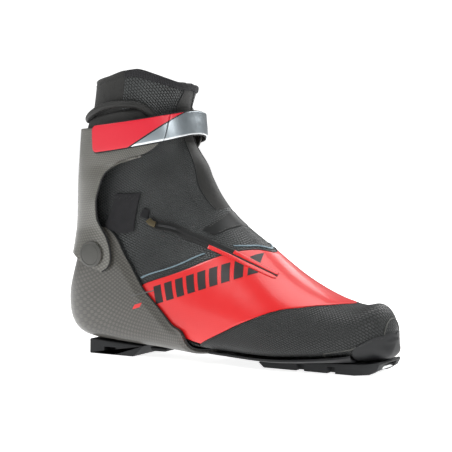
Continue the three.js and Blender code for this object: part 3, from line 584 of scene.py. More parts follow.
def band(name: str, low: Along, high: Along, start: float | Along, end: float | Along,
         lift: float | Callable[[Array, Array], Array], rows: int, cols: int,
         cloth: Cloth | None = None,
         trim: tuple[float, float, float, float] = (0, 0, 0, 0)) -> bpy.types.Object:
    """An open sheet on the skin between two seams, from one angle to another.

    Args:
        name: The piece's name.
        low: The seam nearer the toe.
        high: The seam nearer the leg.
        start: First angle, or a function of the share from seam to seam.
        end: Last angle, likewise.
        lift: Distance out from the skin, or a function of that share and the angle.
        rows: Cells between the seams.
        cols: Cells round.
        cloth: The flat it is cut from.
        trim: Millimetres cut off at the low and high seams and at the start and end.

    Returns:
        The sheet, facing out.
    """
    def spots(s: Array, t: Array) -> tuple[Array, Array]:
        """Places on the skin."""
        first, last = (edge(s) if callable(edge) else edge + 0 * s for edge in (start, end))
        middle = np.array([(first[0] + last[0]) / 2])
        u_middle = float((low(middle) + high(middle))[0] / 2)
        line = SKIN.point(np.full(60, u_middle), np.linspace(first[0], last[0], 60))
        length = np.linalg.norm(np.diff(line, axis=0), axis=1).sum()
        angle = mix(first, last, mix(trim[2] / length, 1 - trim[3] / length, t))
        bottom, top = low(angle), high(angle)
        bottom = bottom + trim[0] / SKIN.speed(np.maximum(bottom, 0.1), angle)
        top = top - trim[1] / SKIN.speed(np.maximum(top, 0.1), angle)
        return mix(bottom, top, s), angle

    def point(s: Array, t: Array) -> Array:
        """Points of the sheet."""
        u, angle = spots(s, t)
        out = lift(s, angle) if callable(lift) else np.full_like(s, lift)
        return SKIN.lifted(u, angle, out)

    flat = (lambda s, t: cloth.at(*spots(s, t))) if cloth else None
    return face_middle(shaped_grid(name, point, rows, cols, flat), spots)


def four_corners(*corners: Point2) -> Callable[[Array, Array], tuple[Array, Array]]:
    """Places between four side-view corners, for shares down and across.

    Args:
        corners: Top back, top front, low back and low front.

    Returns:
        A function of both shares that gives u and the angle.
    """
    places = [SKIN.place(p) for p in corners]
    return lambda s, t: tuple(mix(mix(places[0][n], places[1][n], t),
                                  mix(places[2][n], places[3][n], t), s) for n in (0, 1))


def face_middle(piece: bpy.types.Object,
                spots: Callable[[Array, Array], tuple[Array, Array]]) -> bpy.types.Object:
    """Turns an open sheet so that its middle faces out, and gives it back."""
    u, angle = spots(np.array([0.5]), np.array([0.5]))
    face_like_skin(piece, float(u[0]), float(angle[0]))
    return piece


def face_like_skin(piece: bpy.types.Object, u: float, angle: float) -> None:
    """Turns an open sheet so that it faces out at a place on the skin."""
    spot = to_metres(SKIN.point(np.array([u]), np.array([angle])))[0]
    normal = SKIN.normal(np.array([u]), np.array([angle]))[0]
    centres = np.zeros(len(piece.data.polygons) * 3)
    piece.data.polygons.foreach_get("center", centres)
    normals = np.zeros_like(centres)
    piece.data.polygons.foreach_get("normal", normals)
    near = np.linalg.norm(centres.reshape(-1, 3) - spot, axis=1).argmin()
    if normals.reshape(-1, 3)[near] @ normal < 0:
        active(piece)
        in_edit_mode(bpy.ops.mesh.flip_normals)


def wrapped(name: str, edge: Route, back: Route, lift: Callable[[Array, Array], Array],
            rows: int, cols: int, cloth: Cloth | None = None) -> bpy.types.Object:
    """An open sheet round the back or the sole, from an outer edge to its mirror image.

    Args:
        name: The piece's name.
        edge: The edge's places for a share along it.
        back: The middle line's places for the same share.
        lift: Distance out from the skin for both shares.
        rows: Cells along the edge.
        cols: Cells from edge to edge.
        cloth: The flat it is cut from.

    Returns:
        The sheet, facing out.
    """
    def spots(s: Array, t: Array) -> tuple[Array, Array]:
        """Places on the skin."""
        side_u, side_angle = edge(s)
        back_u, _ = back(s)
        share = np.abs(2 * t - 1)
        angle = SKIN.angle_at(mix(SKIN.girths[-1], SKIN.girth_at(side_angle), share))
        return mix(back_u, side_u, share), np.where(t < 0.5, angle, FULL_TURN - angle)

    def point(s: Array, t: Array) -> Array:
        """Points of the sheet."""
        u, angle = spots(s, t)
        return SKIN.lifted(u, angle, lift(s, t))

    flat = (lambda s, t: cloth.at(*spots(s, t))) if cloth else None
    return face_middle(shaped_grid(name, point, rows, cols, flat), spots)


def strip(name: str, route: Route, width: Along | float, lift: float, steps: int,
          offset: float = 0.0, across: int = 4, crown: float = 0.0,
          span: Point2 = (0.0, 1.0)) -> bpy.types.Object:
    """A strip along a route on the skin.

    Args:
        name: The piece's name.
        route: Places on the skin for a share along it.
        width: Width in millimetres, or a function of the share along the strip.
        lift: Distance out from the skin.
        steps: Cells along.
        offset: How far the strip runs beside the route.
        across: Cells across.
        crown: How much higher its middle stands.
        span: First and last share of the route.

    Returns:
        The strip, facing out.
    """
    def point(s: Array, t: Array) -> Array:
        """Points of the strip."""
        origin, side, normal, _ = frames(route, mix(span[0], span[1], s))
        wide = width(s) if callable(width) else np.full_like(s, width)
        sideways = (offset + (t - 0.5) * wide)[:, None]
        rise = (lift + crown * (1 - (2 * t - 1) ** 2))[:, None]
        return origin + side * sideways + normal * rise

    piece = shaped_grid(name, point, steps, across)
    u, angle = route(np.array([(span[0] + span[1]) / 2]))
    face_like_skin(piece, float(u[0]), float(angle[0]))
    return piece


def frames(route: Route, share: Array) -> tuple[Array, Array, Array, Array]:
    """Points, side, normal and forward directions along a route on the skin."""
    u, angle = route(share)
    ahead = SKIN.point(*route(np.minimum(share + 0.008, 1)))
    behind = SKIN.point(*route(np.maximum(share - 0.008, 0)))
    forward = ahead - behind
    forward /= np.maximum(np.linalg.norm(forward, axis=1, keepdims=True), 1e-9)
    normal = SKIN.normal(u, angle)
    side = np.cross(normal, forward)
    side /= np.maximum(np.linalg.norm(side, axis=1, keepdims=True), 1e-9)
    return SKIN.point(u, angle), side, normal, forward


def even_shares(route: Route, pitch: float, margin: float = 0.0) -> Array:
    """Shares of a route that are an even number of millimetres apart."""
    fine = np.linspace(0, 1, 400)
    points = SKIN.point(*route(fine))
    lengths = np.concatenate([[0.0], np.cumsum(np.linalg.norm(np.diff(points, axis=0), axis=1))])
    usable = lengths[-1] - 2 * margin
    count = max(int(usable / pitch), 1)
    return np.interp(margin + (np.arange(count) + 0.5) * usable / count, lengths, fine)


def scatter(name: str, model: bpy.types.Object, origins: Array, axes: Array) -> bpy.types.Object:
    """Copies one small model to many places, as one piece.

    Args:
        name: The piece's name.
        model: The model, in millimetres about the origin; it is removed.
        origins: Places in millimetres.
        axes: For each place, the three directions of the model's x, y and z.

    Returns:
        The piece.
    """
    base = vertex_array(model.data)
    faces = [tuple(face.vertices) for face in model.data.polygons]
    placed = origins[:, None, :] + np.einsum("vk,nkc->nvc", base, axes)
    points = to_metres(placed.reshape(-1, 3))
    count = len(base)
    copied = [tuple(v + n * count for v in face) for n in range(len(origins)) for face in faces]
    mesh = bpy.data.meshes.new(name)
    mesh.from_pydata([tuple(p) for p in points], [], copied)
    mesh.update()
    piece = bpy.data.objects.new(name, mesh)
    bpy.context.scene.collection.objects.link(piece)
    old = model.data
    bpy.data.objects.remove(model)
    bpy.data.meshes.remove(old)
    active(piece)
    bpy.ops.object.shade_smooth()
    return piece


def bead(length: float, width: float, height: float) -> bpy.types.Object:
    """One stitch, a flattened bead of thread, in millimetres about the origin."""
    bpy.ops.object.select_all(action="DESELECT")
    bpy.ops.mesh.primitive_uv_sphere_add(segments=8, ring_count=5, radius=0.5)
    model = bpy.context.object
    points = vertex_array(model.data)[:, [2, 1, 0]]
    points[:, 0] = np.sign(points[:, 0]) * np.abs(2 * points[:, 0]) ** 0.6 / 2
    model.data.vertices.foreach_set("co", (points * [length, width, height]).ravel())
    face_out(model)
    return model


def stitch_line(name: str, route: Route, lift: float, offset: float = 0.0, length: float = 2.4,
                pitch: float = 3.1, width: float = 0.55) -> bpy.types.Object:
    """A row of stitches along a route.

    Args:
        name: The piece's name.
        route: Places on the skin.
        lift: Height of the surface it is sewn on.
        offset: How far beside the route it runs.
        length: Length of one stitch.
        pitch: Distance from stitch to stitch.
        width: Thread width.

    Returns:
        The row.
    """
    share = even_shares(route, pitch)
    origin, side, normal, forward = frames(route, share)
    origin = origin + side * offset + normal * (lift + width * 0.1)
    return scatter(name, bead(length, width, width * 0.8), origin,
                   np.stack([forward, side, normal], axis=1))


def seam_route(line: Along, start: float, end: float, shift: float = 0.0) -> Route:
    """A route along a seam from one angle to another, moved along the boot by millimetres."""
    def route(share: Array) -> tuple[Array, Array]:
        """Places along the seam."""
        angle = mix(start, end, np.asarray(share, float))
        u = line(angle)
        if shift:
            u = u + shift / SKIN.speed(np.maximum(u, 0.1), angle)
        return u, angle

    return route


def edge_route(low: Along, high: Along, sign: int, shift: float = 0.0) -> Route:
    """A route along the edge of the front strip, from one seam to another, moved by an angle."""
    def route(share: Array) -> tuple[Array, Array]:
        """Places along the line."""
        angles = strip_edge(low, high, sign)(share) + sign * shift
        return mix(low(angles), high(angles), share), angles

    return route


def cord_on(name: str, route: Route, radius: float, lift: float | Along, steps: int,
            sides: int = 8) -> bpy.types.Object:
    """A round piping or moulded bead along a route, with domed ends."""
    def point(s: Array, t: Array) -> Array:
        """Points of the bead."""
        row = np.clip((s * (steps + 2) - 1) / steps, 0, 1)
        from_end = np.minimum(s, 1 - s) * (steps + 2)
        thick = radius * np.sqrt(np.clip(from_end / 2.5, 0, 1))
        origin, side, normal, _ = frames(route, row)
        turn = t * FULL_TURN
        height = lift(row) if callable(lift) else lift
        return (origin + normal * (height + thick * np.sin(turn))[:, None]
                + side * (thick * np.cos(turn))[:, None])

    piece = shaped_grid(name, point, steps + 2, sides)
    face_out(piece)
    bpy.ops.object.shade_smooth()
    return piece


def turned(name: str, profile: Sequence[Point2], centre: tuple[float, float, float],
           axis: float, sides: int = 64) -> bpy.types.Object:
    """A turned piece about a line along Y.

    Args:
        name: The piece's name.
        profile: Pairs of radius and height, from the bottom middle to the top middle.
        centre: The foot of the axis in millimetres.
        axis: 1 or -1, the way its top faces along Y.
        sides: Facets round.

    Returns:
        The closed piece.
    """
    radii, heights = np.array(profile).T
    keys = np.arange(len(radii))

    def point(s: Array, t: Array) -> Array:
        """Points of the turned form."""
        key = np.rint(s * keys[-1]).astype(int)
        turn = t * FULL_TURN
        return np.array(centre) + np.column_stack([
            radii[key] * np.cos(turn), axis * heights[key], radii[key] * np.sin(turn)])

    piece = shaped_grid(name, point, len(radii) - 1, sides)
    face_out(piece)
    bpy.ops.object.shade_smooth_by_angle(angle=math.radians(35))
    return piece


def refined_copy(name: str, node: str, rounding: float, segments: int = 3) -> bpy.types.Object:
    """A copy of a hard frame node, with its facets joined and its edges rounded.

    Args:
        name: The piece's name.
        node: The frame node.
        rounding: Edge rounding in millimetres.
        segments: Facets over an edge.

    Returns:
        The piece.
    """
    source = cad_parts[node]
    mesh = source.data.copy()
    mesh.transform(source.matrix_world)
    mesh.materials.clear()
    piece = bpy.data.objects.new(name, mesh)
    bpy.context.scene.collection.objects.link(piece)
    active(piece)
    in_edit_mode(lambda: bpy.ops.mesh.remove_doubles(threshold=1e-6),
                 lambda: bpy.ops.mesh.dissolve_limited(angle_limit=math.radians(3)))
    bevel(piece, rounding, segments, 28)
    apply_all(piece)
    bpy.ops.object.shade_smooth_by_angle(angle=math.radians(30))
    return piece


# ------------------------------------------------------------------ finishes


def linear(colour: str) -> tuple[float, float, float, float]:
    """An sRGB hex colour as linear red, green, blue and alpha."""
    parts = [int(colour[k:k + 2], 16) / 255 for k in (1, 3, 5)]
    return (*(p / 12.92 if p <= 0.04045 else ((p + 0.055) / 1.055) ** 2.4 for p in parts), 1.0)


def per_metre(size: float) -> float:
    """The texture scale at which one cell is a size in millimetres."""
    return 1 / (size * MM)


def add_node(tree: bpy.types.NodeTree, kind: str, inputs: dict | Sequence = (),
             output: int | str = 0, **settings: object) -> bpy.types.NodeSocket:
    """Adds a node with its settings, values and links.

    Args:
        tree: The material's nodes.
        kind: The node's type, without its usual prefix.
        inputs: A value or an output socket for each input, in order, or by name or number.
        output: Which of its outputs is wanted.
        settings: The node's own settings.

    Returns:
        That output.
    """
    node = tree.nodes.new(f"ShaderNode{kind}")
    for key, value in settings.items():
        setattr(node, key, value)
    for key, value in inputs.items() if isinstance(inputs, dict) else enumerate(inputs):
        if isinstance(value, bpy.types.NodeSocket):
            tree.links.new(value, node.inputs[key])
        else:
            node.inputs[key].default_value = value
    return node.outputs[output]


class Lay(Enum):
    """What a pattern follows."""

    CLOTH = "UV"
    SOLID = "Object"


@dataclass(frozen=True)
class Finish:
    """A material: what it is, how its surface was made, and the record's slot that it fills."""

    title: str
    slot: str
    colour: str
    roughness: float
    metallic: float = 0.0
    ior: float = 1.5
    coat: float = 0.0
    coat_roughness: float = 0.1
    sheen: float = 0.0
    specular: float = 0.5
    lay: Lay = Lay.CLOTH

    def material(self) -> bpy.types.Material:
        """The material, made once."""
        found = bpy.data.materials.get(self.title)
        if found:
            return found
        made = bpy.data.materials.new(self.title)
        made.use_nodes = True
        tree = made.node_tree
        tree.nodes.clear()
        surface = add_node(tree, "BsdfPrincipled", {
            "Base Color": linear(self.colour), "Roughness": self.roughness,
            "Metallic": self.metallic, "IOR": self.ior, "Coat Weight": self.coat,
            "Coat Roughness": self.coat_roughness, "Sheen Weight": self.sheen,
            "Specular IOR Level": self.specular})
        tree.links.new(surface, tree.nodes.new("ShaderNodeOutputMaterial").inputs["Surface"])
        self.dress(surface.node, partial(add_node, tree),
                   add_node(tree, "TexCoord", output=self.lay.value))
        return made

    def dress(self, shader: bpy.types.Node, add: AddNode, where: bpy.types.NodeSocket) -> None:
        """Adds the pattern nodes.

        Args:
            shader: The node whose colour, roughness and relief the pattern drives.
            add: Adds a node to the material.
            where: The place that the pattern reads.
        """
        raise NotImplementedError

    def tint(self, shader: bpy.types.Node, add: AddNode, factor: bpy.types.NodeSocket,
             light: str) -> None:
        """Colours the surface from its own colour to a lighter one by a factor."""
        blend = add("Mix", {0: factor, 6: linear(self.colour), 7: linear(light)}, 2,
                    data_type="RGBA")
        shader.id_data.links.new(blend, shader.inputs["Base Color"])

    @staticmethod
    def relief(shader: bpy.types.Node, add: AddNode, height: bpy.types.NodeSocket,
               depth: float) -> None:
        """Raises the surface by a height pattern, with its depth in millimetres."""
        bump = add("Bump", {"Strength": 1.0, "Distance": depth * MM, "Height": height})
        shader.id_data.links.new(bump, shader.inputs["Normal"])

    @staticmethod
    def gloss(shader: bpy.types.Node, add: AddNode, factor: bpy.types.NodeSocket,
              low: float, high: float) -> None:
        """Varies the roughness between two values by a factor."""
        ease = add("MapRange", {"Value": factor, "To Min": low, "To Max": high})
        shader.id_data.links.new(ease, shader.inputs["Roughness"])


def cloudy(where: bpy.types.NodeSocket, size: float, detail: float = 3.0) -> dict:
    """What a noise texture takes for features of a size in millimetres."""
    return {"Vector": where, "Scale": per_metre(size), "Detail": detail}


@dataclass(frozen=True)
class EmbossedFabric(Finish):
    """Coated polyester upper fabric, hot pressed with rows of small bricks.

    The pressed bricks catch the light one by one, so the black reads as a fine glinting grid.
    """

    light: str = "#454746"
    brick_length: float = 2.9
    brick_height: float = 1.75
    depth: float = 0.35

    def dress(self, shader: bpy.types.Node, add: AddNode, where: bpy.types.NodeSocket) -> None:
        """Adds the bricks, their sheen and a slow change of tone."""
        on_bias = add("Mapping", {"Vector": where, "Rotation": (0, 0, math.radians(24))})
        joints = add("TexBrick", {
            "Vector": on_bias, "Scale": per_metre(1), "Brick Width": self.brick_length,
            "Row Height": self.brick_height, "Mortar Size": 0.42, "Mortar Smooth": 1.0,
            "Bias": 0.0}, "Fac")
        raised = add("Math", (1.0, joints), operation="SUBTRACT")
        cloud = add("Math", (0.35, add("TexNoise", cloudy(where, 26))), operation="ADD")
        self.tint(shader, add, add("Math", (raised, cloud), operation="MULTIPLY"), self.light)
        self.gloss(shader, add, raised, self.roughness + 0.35, self.roughness)
        thread = add("Math", (add("TexNoise", cloudy(where, 0.35, 1.0)), 0.18),
                     operation="MULTIPLY")
        self.relief(shader, add, add("Math", (raised, thread), operation="ADD"), self.depth)


@dataclass(frozen=True)
class StretchKnit(Finish):
    """Neoprene or foam faced with a fine jersey knit: a soft even face with a faint rib."""

    light: str = "#454542"
    rib: float = 0.7
    depth: float = 0.08

    def dress(self, shader: bpy.types.Node, add: AddNode, where: bpy.types.NodeSocket) -> None:
        """Adds the knit ribs and patches of tone from wear."""
        ribs = add("TexWave", {
            "Vector": where, "Scale": per_metre(self.rib) / FULL_TURN, "Distortion": 1.2,
            "Detail": 1.0, "Detail Scale": 2.0}, "Fac")
        self.tint(shader, add, add("TexNoise", cloudy(where, 18)), self.light)
        fuzz = add("TexNoise", cloudy(where, 0.5, 1.0))
        self.relief(shader, add, add("Math", (ribs, fuzz), operation="ADD"), self.depth)


@dataclass(frozen=True)
class GlossFilm(Finish):
    """Thermoplastic film welded over foam: smooth and glossy, with faint dimples and mottling."""

    light: str = "#F06A64"
    dimple: float = 1.6
    depth: float = 0.05

    def dress(self, shader: bpy.types.Node, add: AddNode, where: bpy.types.NodeSocket) -> None:
        """Adds soft mottling in tone and gloss, and shallow dimples."""
        cloud = add("TexNoise", cloudy(where, 30))
        self.tint(shader, add, add("Math", (cloud, 0.35), operation="MULTIPLY"), self.light)
        self.gloss(shader, add, cloud, self.roughness - 0.05, self.roughness + 0.1)
        cells = add("TexVoronoi", {
            "Vector": where, "Scale": per_metre(self.dimple), "Randomness": 0.2})
        waves = add("Math", (add("TexNoise", cloudy(where, 14)), 3.0), operation="MULTIPLY")
        self.relief(shader, add, add("Math", (cells, waves), operation="ADD"), self.depth)


@dataclass(frozen=True)
class CarbonTwill(Finish):
    """Carbon weave under clear resin: rows of light and dark checks below a glossy coat."""

    light: str = "#8A8A84"
    check: float = 2.2
    slant: float = 8.0

    def dress(self, shader: bpy.types.Node, add: AddNode, where: bpy.types.NodeSocket) -> None:
        """Adds the weave in tone, gloss and relief."""
        scaled = add("Mapping", {
            "Vector": where, "Rotation": (0, 0, math.radians(self.slant)),
            "Scale": (per_metre(self.check * 1.5), per_metre(self.check), 1.0)})
        parts = add("SeparateXYZ", (scaled,)).node.outputs
        steps = [add("Math", (part,), operation="FLOOR") for part in parts[:2]]
        step = add("Math", (add("Math", steps, operation="ADD"), 2.0),
                   operation="FLOORED_MODULO")
        over = add("Math", (step, 1.0), operation="LESS_THAN")
        under = add("Math", (1.0, over), operation="SUBTRACT")
        tows = [add("Math", (shown, add("Math", (part, 0.5), operation="PINGPONG")),
                    operation="MULTIPLY") for shown, part in zip((over, under), parts)]
        swell = add("Math", tows, operation="ADD")
        tone = add("Math", [add("Math", pair, operation="MULTIPLY")
                            for pair in ((over, 0.6), (swell, 0.8))], operation="ADD")
        cloud = add("Math", (0.5, add("TexNoise", cloudy(where, 20))), operation="ADD")
        self.tint(shader, add, add("Math", (tone, cloud), operation="MULTIPLY"), self.light)
        self.gloss(shader, add, over, self.roughness, self.roughness + 0.12)
        self.relief(shader, add, swell, 0.12)


@dataclass(frozen=True)
class MouldedPlastic(Finish):
    """Moulded rubber or nylon: a matt spark-eroded skin with slight scuffing."""

    light: str = "#4A4B4D"
    grain: float = 0.5
    depth: float = 0.06

    def dress(self, shader: bpy.types.Node, add: AddNode, where: bpy.types.NodeSocket) -> None:
        """Adds the fine grain and the scuffs."""
        scuff = add("TexNoise", cloudy(where, 9))
        self.tint(shader, add, scuff, self.light)
        self.gloss(shader, add, scuff, self.roughness - 0.1, self.roughness + 0.12)
        self.relief(shader, add, add("TexNoise", cloudy(where, self.grain, 2.0)), self.depth)


@dataclass(frozen=True)
class Metal(Finish):
    """Drawn or die-cast metal with fine lines along its length."""

    light: str = "#FFFFFF"

    def dress(self, shader: bpy.types.Node, add: AddNode, where: bpy.types.NodeSocket) -> None:
        """Adds drawing lines that run along Y."""
        drawn = add("Mapping", {"Vector": where, "Scale": (1.0, 0.05, 1.0)})
        lines = add("TexNoise", cloudy(drawn, 0.4))
        self.tint(shader, add, lines, self.light)
        self.gloss(shader, add, lines, self.roughness - 0.08, self.roughness + 0.12)
        self.relief(shader, add, lines, 0.02)


@dataclass(frozen=True)
class Webbing(Finish):
    """Woven nylon tape: close cross ribs a little over a millimetre apart, dull and hairy."""

    # The painted highlight colour of the raised rib crowns.
    light: str = "#4E4E50"
    rib: float = 1.3

    def dress(self, shader: bpy.types.Node, add: AddNode, where: bpy.types.NodeSocket) -> None:
        """Adds the ribs across, the warp between them, and painted highlight on the rib crowns."""
        joints = add("TexBrick", {
            "Vector": where, "Scale": per_metre(1), "Brick Width": self.rib * 1.4,
            "Row Height": self.rib * 0.7, "Mortar Size": 0.25, "Mortar Smooth": 1.0,
            "Bias": 0.0}, "Fac")
        raised = add("Math", (1.0, joints), operation="SUBTRACT")
        # Painted highlight: the raised rib crowns are coloured lighter, in patches set by noise.
        rib_crown_highlight = add("Math", (raised, add("TexNoise", cloudy(where, 6))), operation="MULTIPLY")
        self.tint(shader, add, rib_crown_highlight, self.light)
        self.relief(shader, add, raised, 0.2)


@dataclass(frozen=True)
class RibbedElastic(Finish):
    """Knitted elastic binding: upright ribs that catch the light on their crowns."""

    light: str = "#4A4A4D"
    rib: float = 1.5

    def dress(self, shader: bpy.types.Node, add: AddNode, where: bpy.types.NodeSocket) -> None:
        """Adds the ribs along the first axis of the flat."""
        ribs = add("Math", (add("SeparateXYZ", (where,)), per_metre(self.rib)),
                   operation="MULTIPLY")
        crown = add("Math", (ribs, 0.5), operation="PINGPONG")
        self.tint(shader, add, add("Math", (crown, 1.6), operation="MULTIPLY"), self.light)
        self.relief(shader, add, crown, 0.6)


@dataclass(frozen=True)
class PrintedStrap(Finish):
    """Coated strap: red up to a slanted black line, then satin silver with a paler lower edge."""

    silver: str = "#9AA3A8"
    dull_silver: str = "#8A9399"
    pale: str = "#DDE2E4"
    line: str = "#201C1D"
    change: float = 40.5
    slant: float = 2.05

    def dress(self, shader: bpy.types.Node, add: AddNode, where: bpy.types.NodeSocket) -> None:
        """Adds the colour change across the flat strap, in millimetres from its tip."""
        parts = add("SeparateXYZ", (where,)).node.outputs
        along, across = (add("Math", (part, 1 / MM), operation="MULTIPLY") for part in parts[:2])
        slanted = add("Math", (across, self.slant), operation="MULTIPLY")
        reach = add("Math", (along, slanted), operation="SUBTRACT")
        beyond = add("Math", (reach, self.change), operation="GREATER_THAN")
        gap = add("Math", (reach, self.change), operation="SUBTRACT")
        near = add("Math", (add("Math", (gap,), operation="ABSOLUTE"), 1.6),
                   operation="LESS_THAN")
        hem = add("Math", (across, 1.7), operation="LESS_THAN")
        layers = ((add("TexNoise", cloudy(where, 22)), linear(self.dull_silver)),
                  (hem, linear(self.pale)))
        silver = linear(self.silver)
        for factor, over in layers:
            silver = add("Mix", {0: factor, 6: silver, 7: over}, 2, data_type="RGBA")
        body = add("Mix", {0: beyond, 6: linear(self.colour), 7: silver}, 2, data_type="RGBA")
        final = add("Mix", {0: near, 6: body, 7: linear(self.line)}, 2, data_type="RGBA")
        sheen = add("Math", (beyond, 0.75), operation="MULTIPLY")
        links = shader.id_data.links
        links.new(final, shader.inputs["Base Color"])
        links.new(sheen, shader.inputs["Metallic"])
        self.gloss(shader, add, beyond, self.roughness, 0.3)
        self.relief(shader, add, add("TexNoise", cloudy(where, 0.8, 2.0)), 0.05)


@dataclass(frozen=True)
class BeadedFilm(Finish):
    """Retro-reflective tape: a grey film full of glass beads that sparkle finely."""

    light: str = "#93A7B1"

    def dress(self, shader: bpy.types.Node, add: AddNode, where: bpy.types.NodeSocket) -> None:
        """Adds the beads."""
        beads = add("TexVoronoi", {"Vector": where, "Scale": per_metre(0.4)})
        self.tint(shader, add, beads, self.light)
        self.relief(shader, add, beads, 0.04)


UPPER = EmbossedFabric("embossed_coated_polyester", "textured_fabric", "#0A0B0B", 0.26,
                       specular=0.5, light="#393C3C", brick_length=3.1, brick_height=2.1,
                       depth=0.6)
TOE = EmbossedFabric("fine_embossed_toe_fabric", "textured_fabric", "#111212", 0.34,
                     specular=0.4, light="#303232", brick_length=2.0, brick_height=1.3,
                     depth=0.35)
NEOPRENE = StretchKnit("smooth_neoprene", "neoprene", "#191918", 0.55, sheen=0.05,
                       specular=0.35, light="#262624")
LINING = StretchKnit("brushed_lining_fleece", "lining", "#1C1C1E", 0.9, sheen=0.1, light="#2C2C2F",
                     rib=1.4, depth=0.15)
INSOLE_FELT = StretchKnit("insole_felt", "lining", "#2E2E30", 0.9, lay=Lay.SOLID,
                          light="#404043", rib=1.4, depth=0.15)
FILM = GlossFilm("red_thermoplastic_film", "red_film", "#D5181C", 0.32, coat=0.2,
                 light="#E23A38")
PRINT = GlossFilm("dark_screen_print", "zip_tape", "#1A1314", 0.42, light="#241D1C")
CUP_CARBON = CarbonTwill("carbon_twill_cup", "carbon", "#302F2C", 0.36, coat=0.35,
                         coat_roughness=0.2, light="#595751", check=1.1)
CUFF_CARBON = CarbonTwill("carbon_twill_cuff", "carbon", "#3F3E39", 0.3, coat=0.5,
                          coat_roughness=0.16, light="#6E6D66", check=1.1)
RUBBER = MouldedPlastic("moulded_sole_rubber", "sole_rubber", "#161718", 0.6, lay=Lay.SOLID,
                        specular=0.35, light="#2B2C2E")
RAND = MouldedPlastic("smooth_rand_rubber", "sole_rubber", "#121314", 0.5, lay=Lay.SOLID,
                      specular=0.35, light="#202123")
CAP = MouldedPlastic("matt_nylon_cap", "cap_plastic", "#3E3E3B", 0.5, lay=Lay.SOLID,
                     light="#50504C")
STEEL = Metal("drawn_stainless_steel", "steel", "#B9BEBE", 0.3, metallic=1.0, lay=Lay.SOLID)
ZIP_METAL = Metal("aged_die_cast_zinc", "zip_metal", "#3B3833", 0.4, metallic=0.9,
                  lay=Lay.SOLID, light="#6E6349")
ZIP_TAPE = Webbing("zip_coil_tape", "zip_tape", "#161617", 0.6, light="#2A2A2C", rib=0.9)
LIP_FILM = GlossFilm("welded_black_film", "zip_tape", "#151616", 0.42, specular=0.35,
                     light="#232525")
TAB_WEB = Webbing("nylon_webbing", "webbing", "#1B1B1D", 0.85, specular=0.3,
                  light="#333335")
BACKING = Webbing("strap_backing_web", "webbing", "#1C1C1E", 0.8, light="#303032")
THREAD = StretchKnit("polyester_thread", "webbing", "#111112", 0.6, light="#1D1D1E")
PALE_THREAD = StretchKnit("grey_polyester_thread", "webbing", "#4A4A48", 0.6, light="#5E5E5C")
ELASTIC = RibbedElastic("ribbed_elastic_binding", "webbing", "#121214", 0.7, specular=0.3,
                        light="#2E2E31")
STRAP_PRINT = PrintedStrap("coated_strap_print", "strap_red", "#D0152C", 0.42, coat=0.1)
STRAP_SATIN = PrintedStrap("satin_silver_strap", "strap_silver", "#D0152C", 0.34, coat=0.25,
                           change=-31.5)
STRAP_PLAIN = PrintedStrap("plain_silver_strap", "strap_silver", "#D0152C", 0.34, coat=0.25,
                           change=-400.0)
STRIPE = BeadedFilm("reflective_bead_tape", "stripe_grey", "#576B75", 0.4, light="#7C919B")
PULL_CORD = Webbing("zip_pull_tape", "stripe_grey", "#1B1C1D", 0.7, light="#37393B")


def settle(piece: bpy.types.Object, finish: Finish, body: str | None, *nodes: str) -> None:
    """Dresses a piece, hides the frame nodes it stands for, and hangs it on its body.

    Args:
        piece: The piece.
        finish: Its finish.
        body: The body it rides on, or None to leave it on no body.
        nodes: The frame nodes it replaces.
    """
    piece.data.materials.clear()
    piece.data.materials.append(finish.material())
    if nodes:
        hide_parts(*nodes)
    if body:
        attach(piece, body)
    else:
        bend(piece)
    log.info("%s: %d faces", piece.name, len(piece.data.polygons))


def bend(piece: bpy.types.Object) -> None:
    """Bakes the transform of a piece of the ankle into its mesh, leaving it on no body."""
    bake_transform(piece)


# ------------------------------------------------------------------ the boot


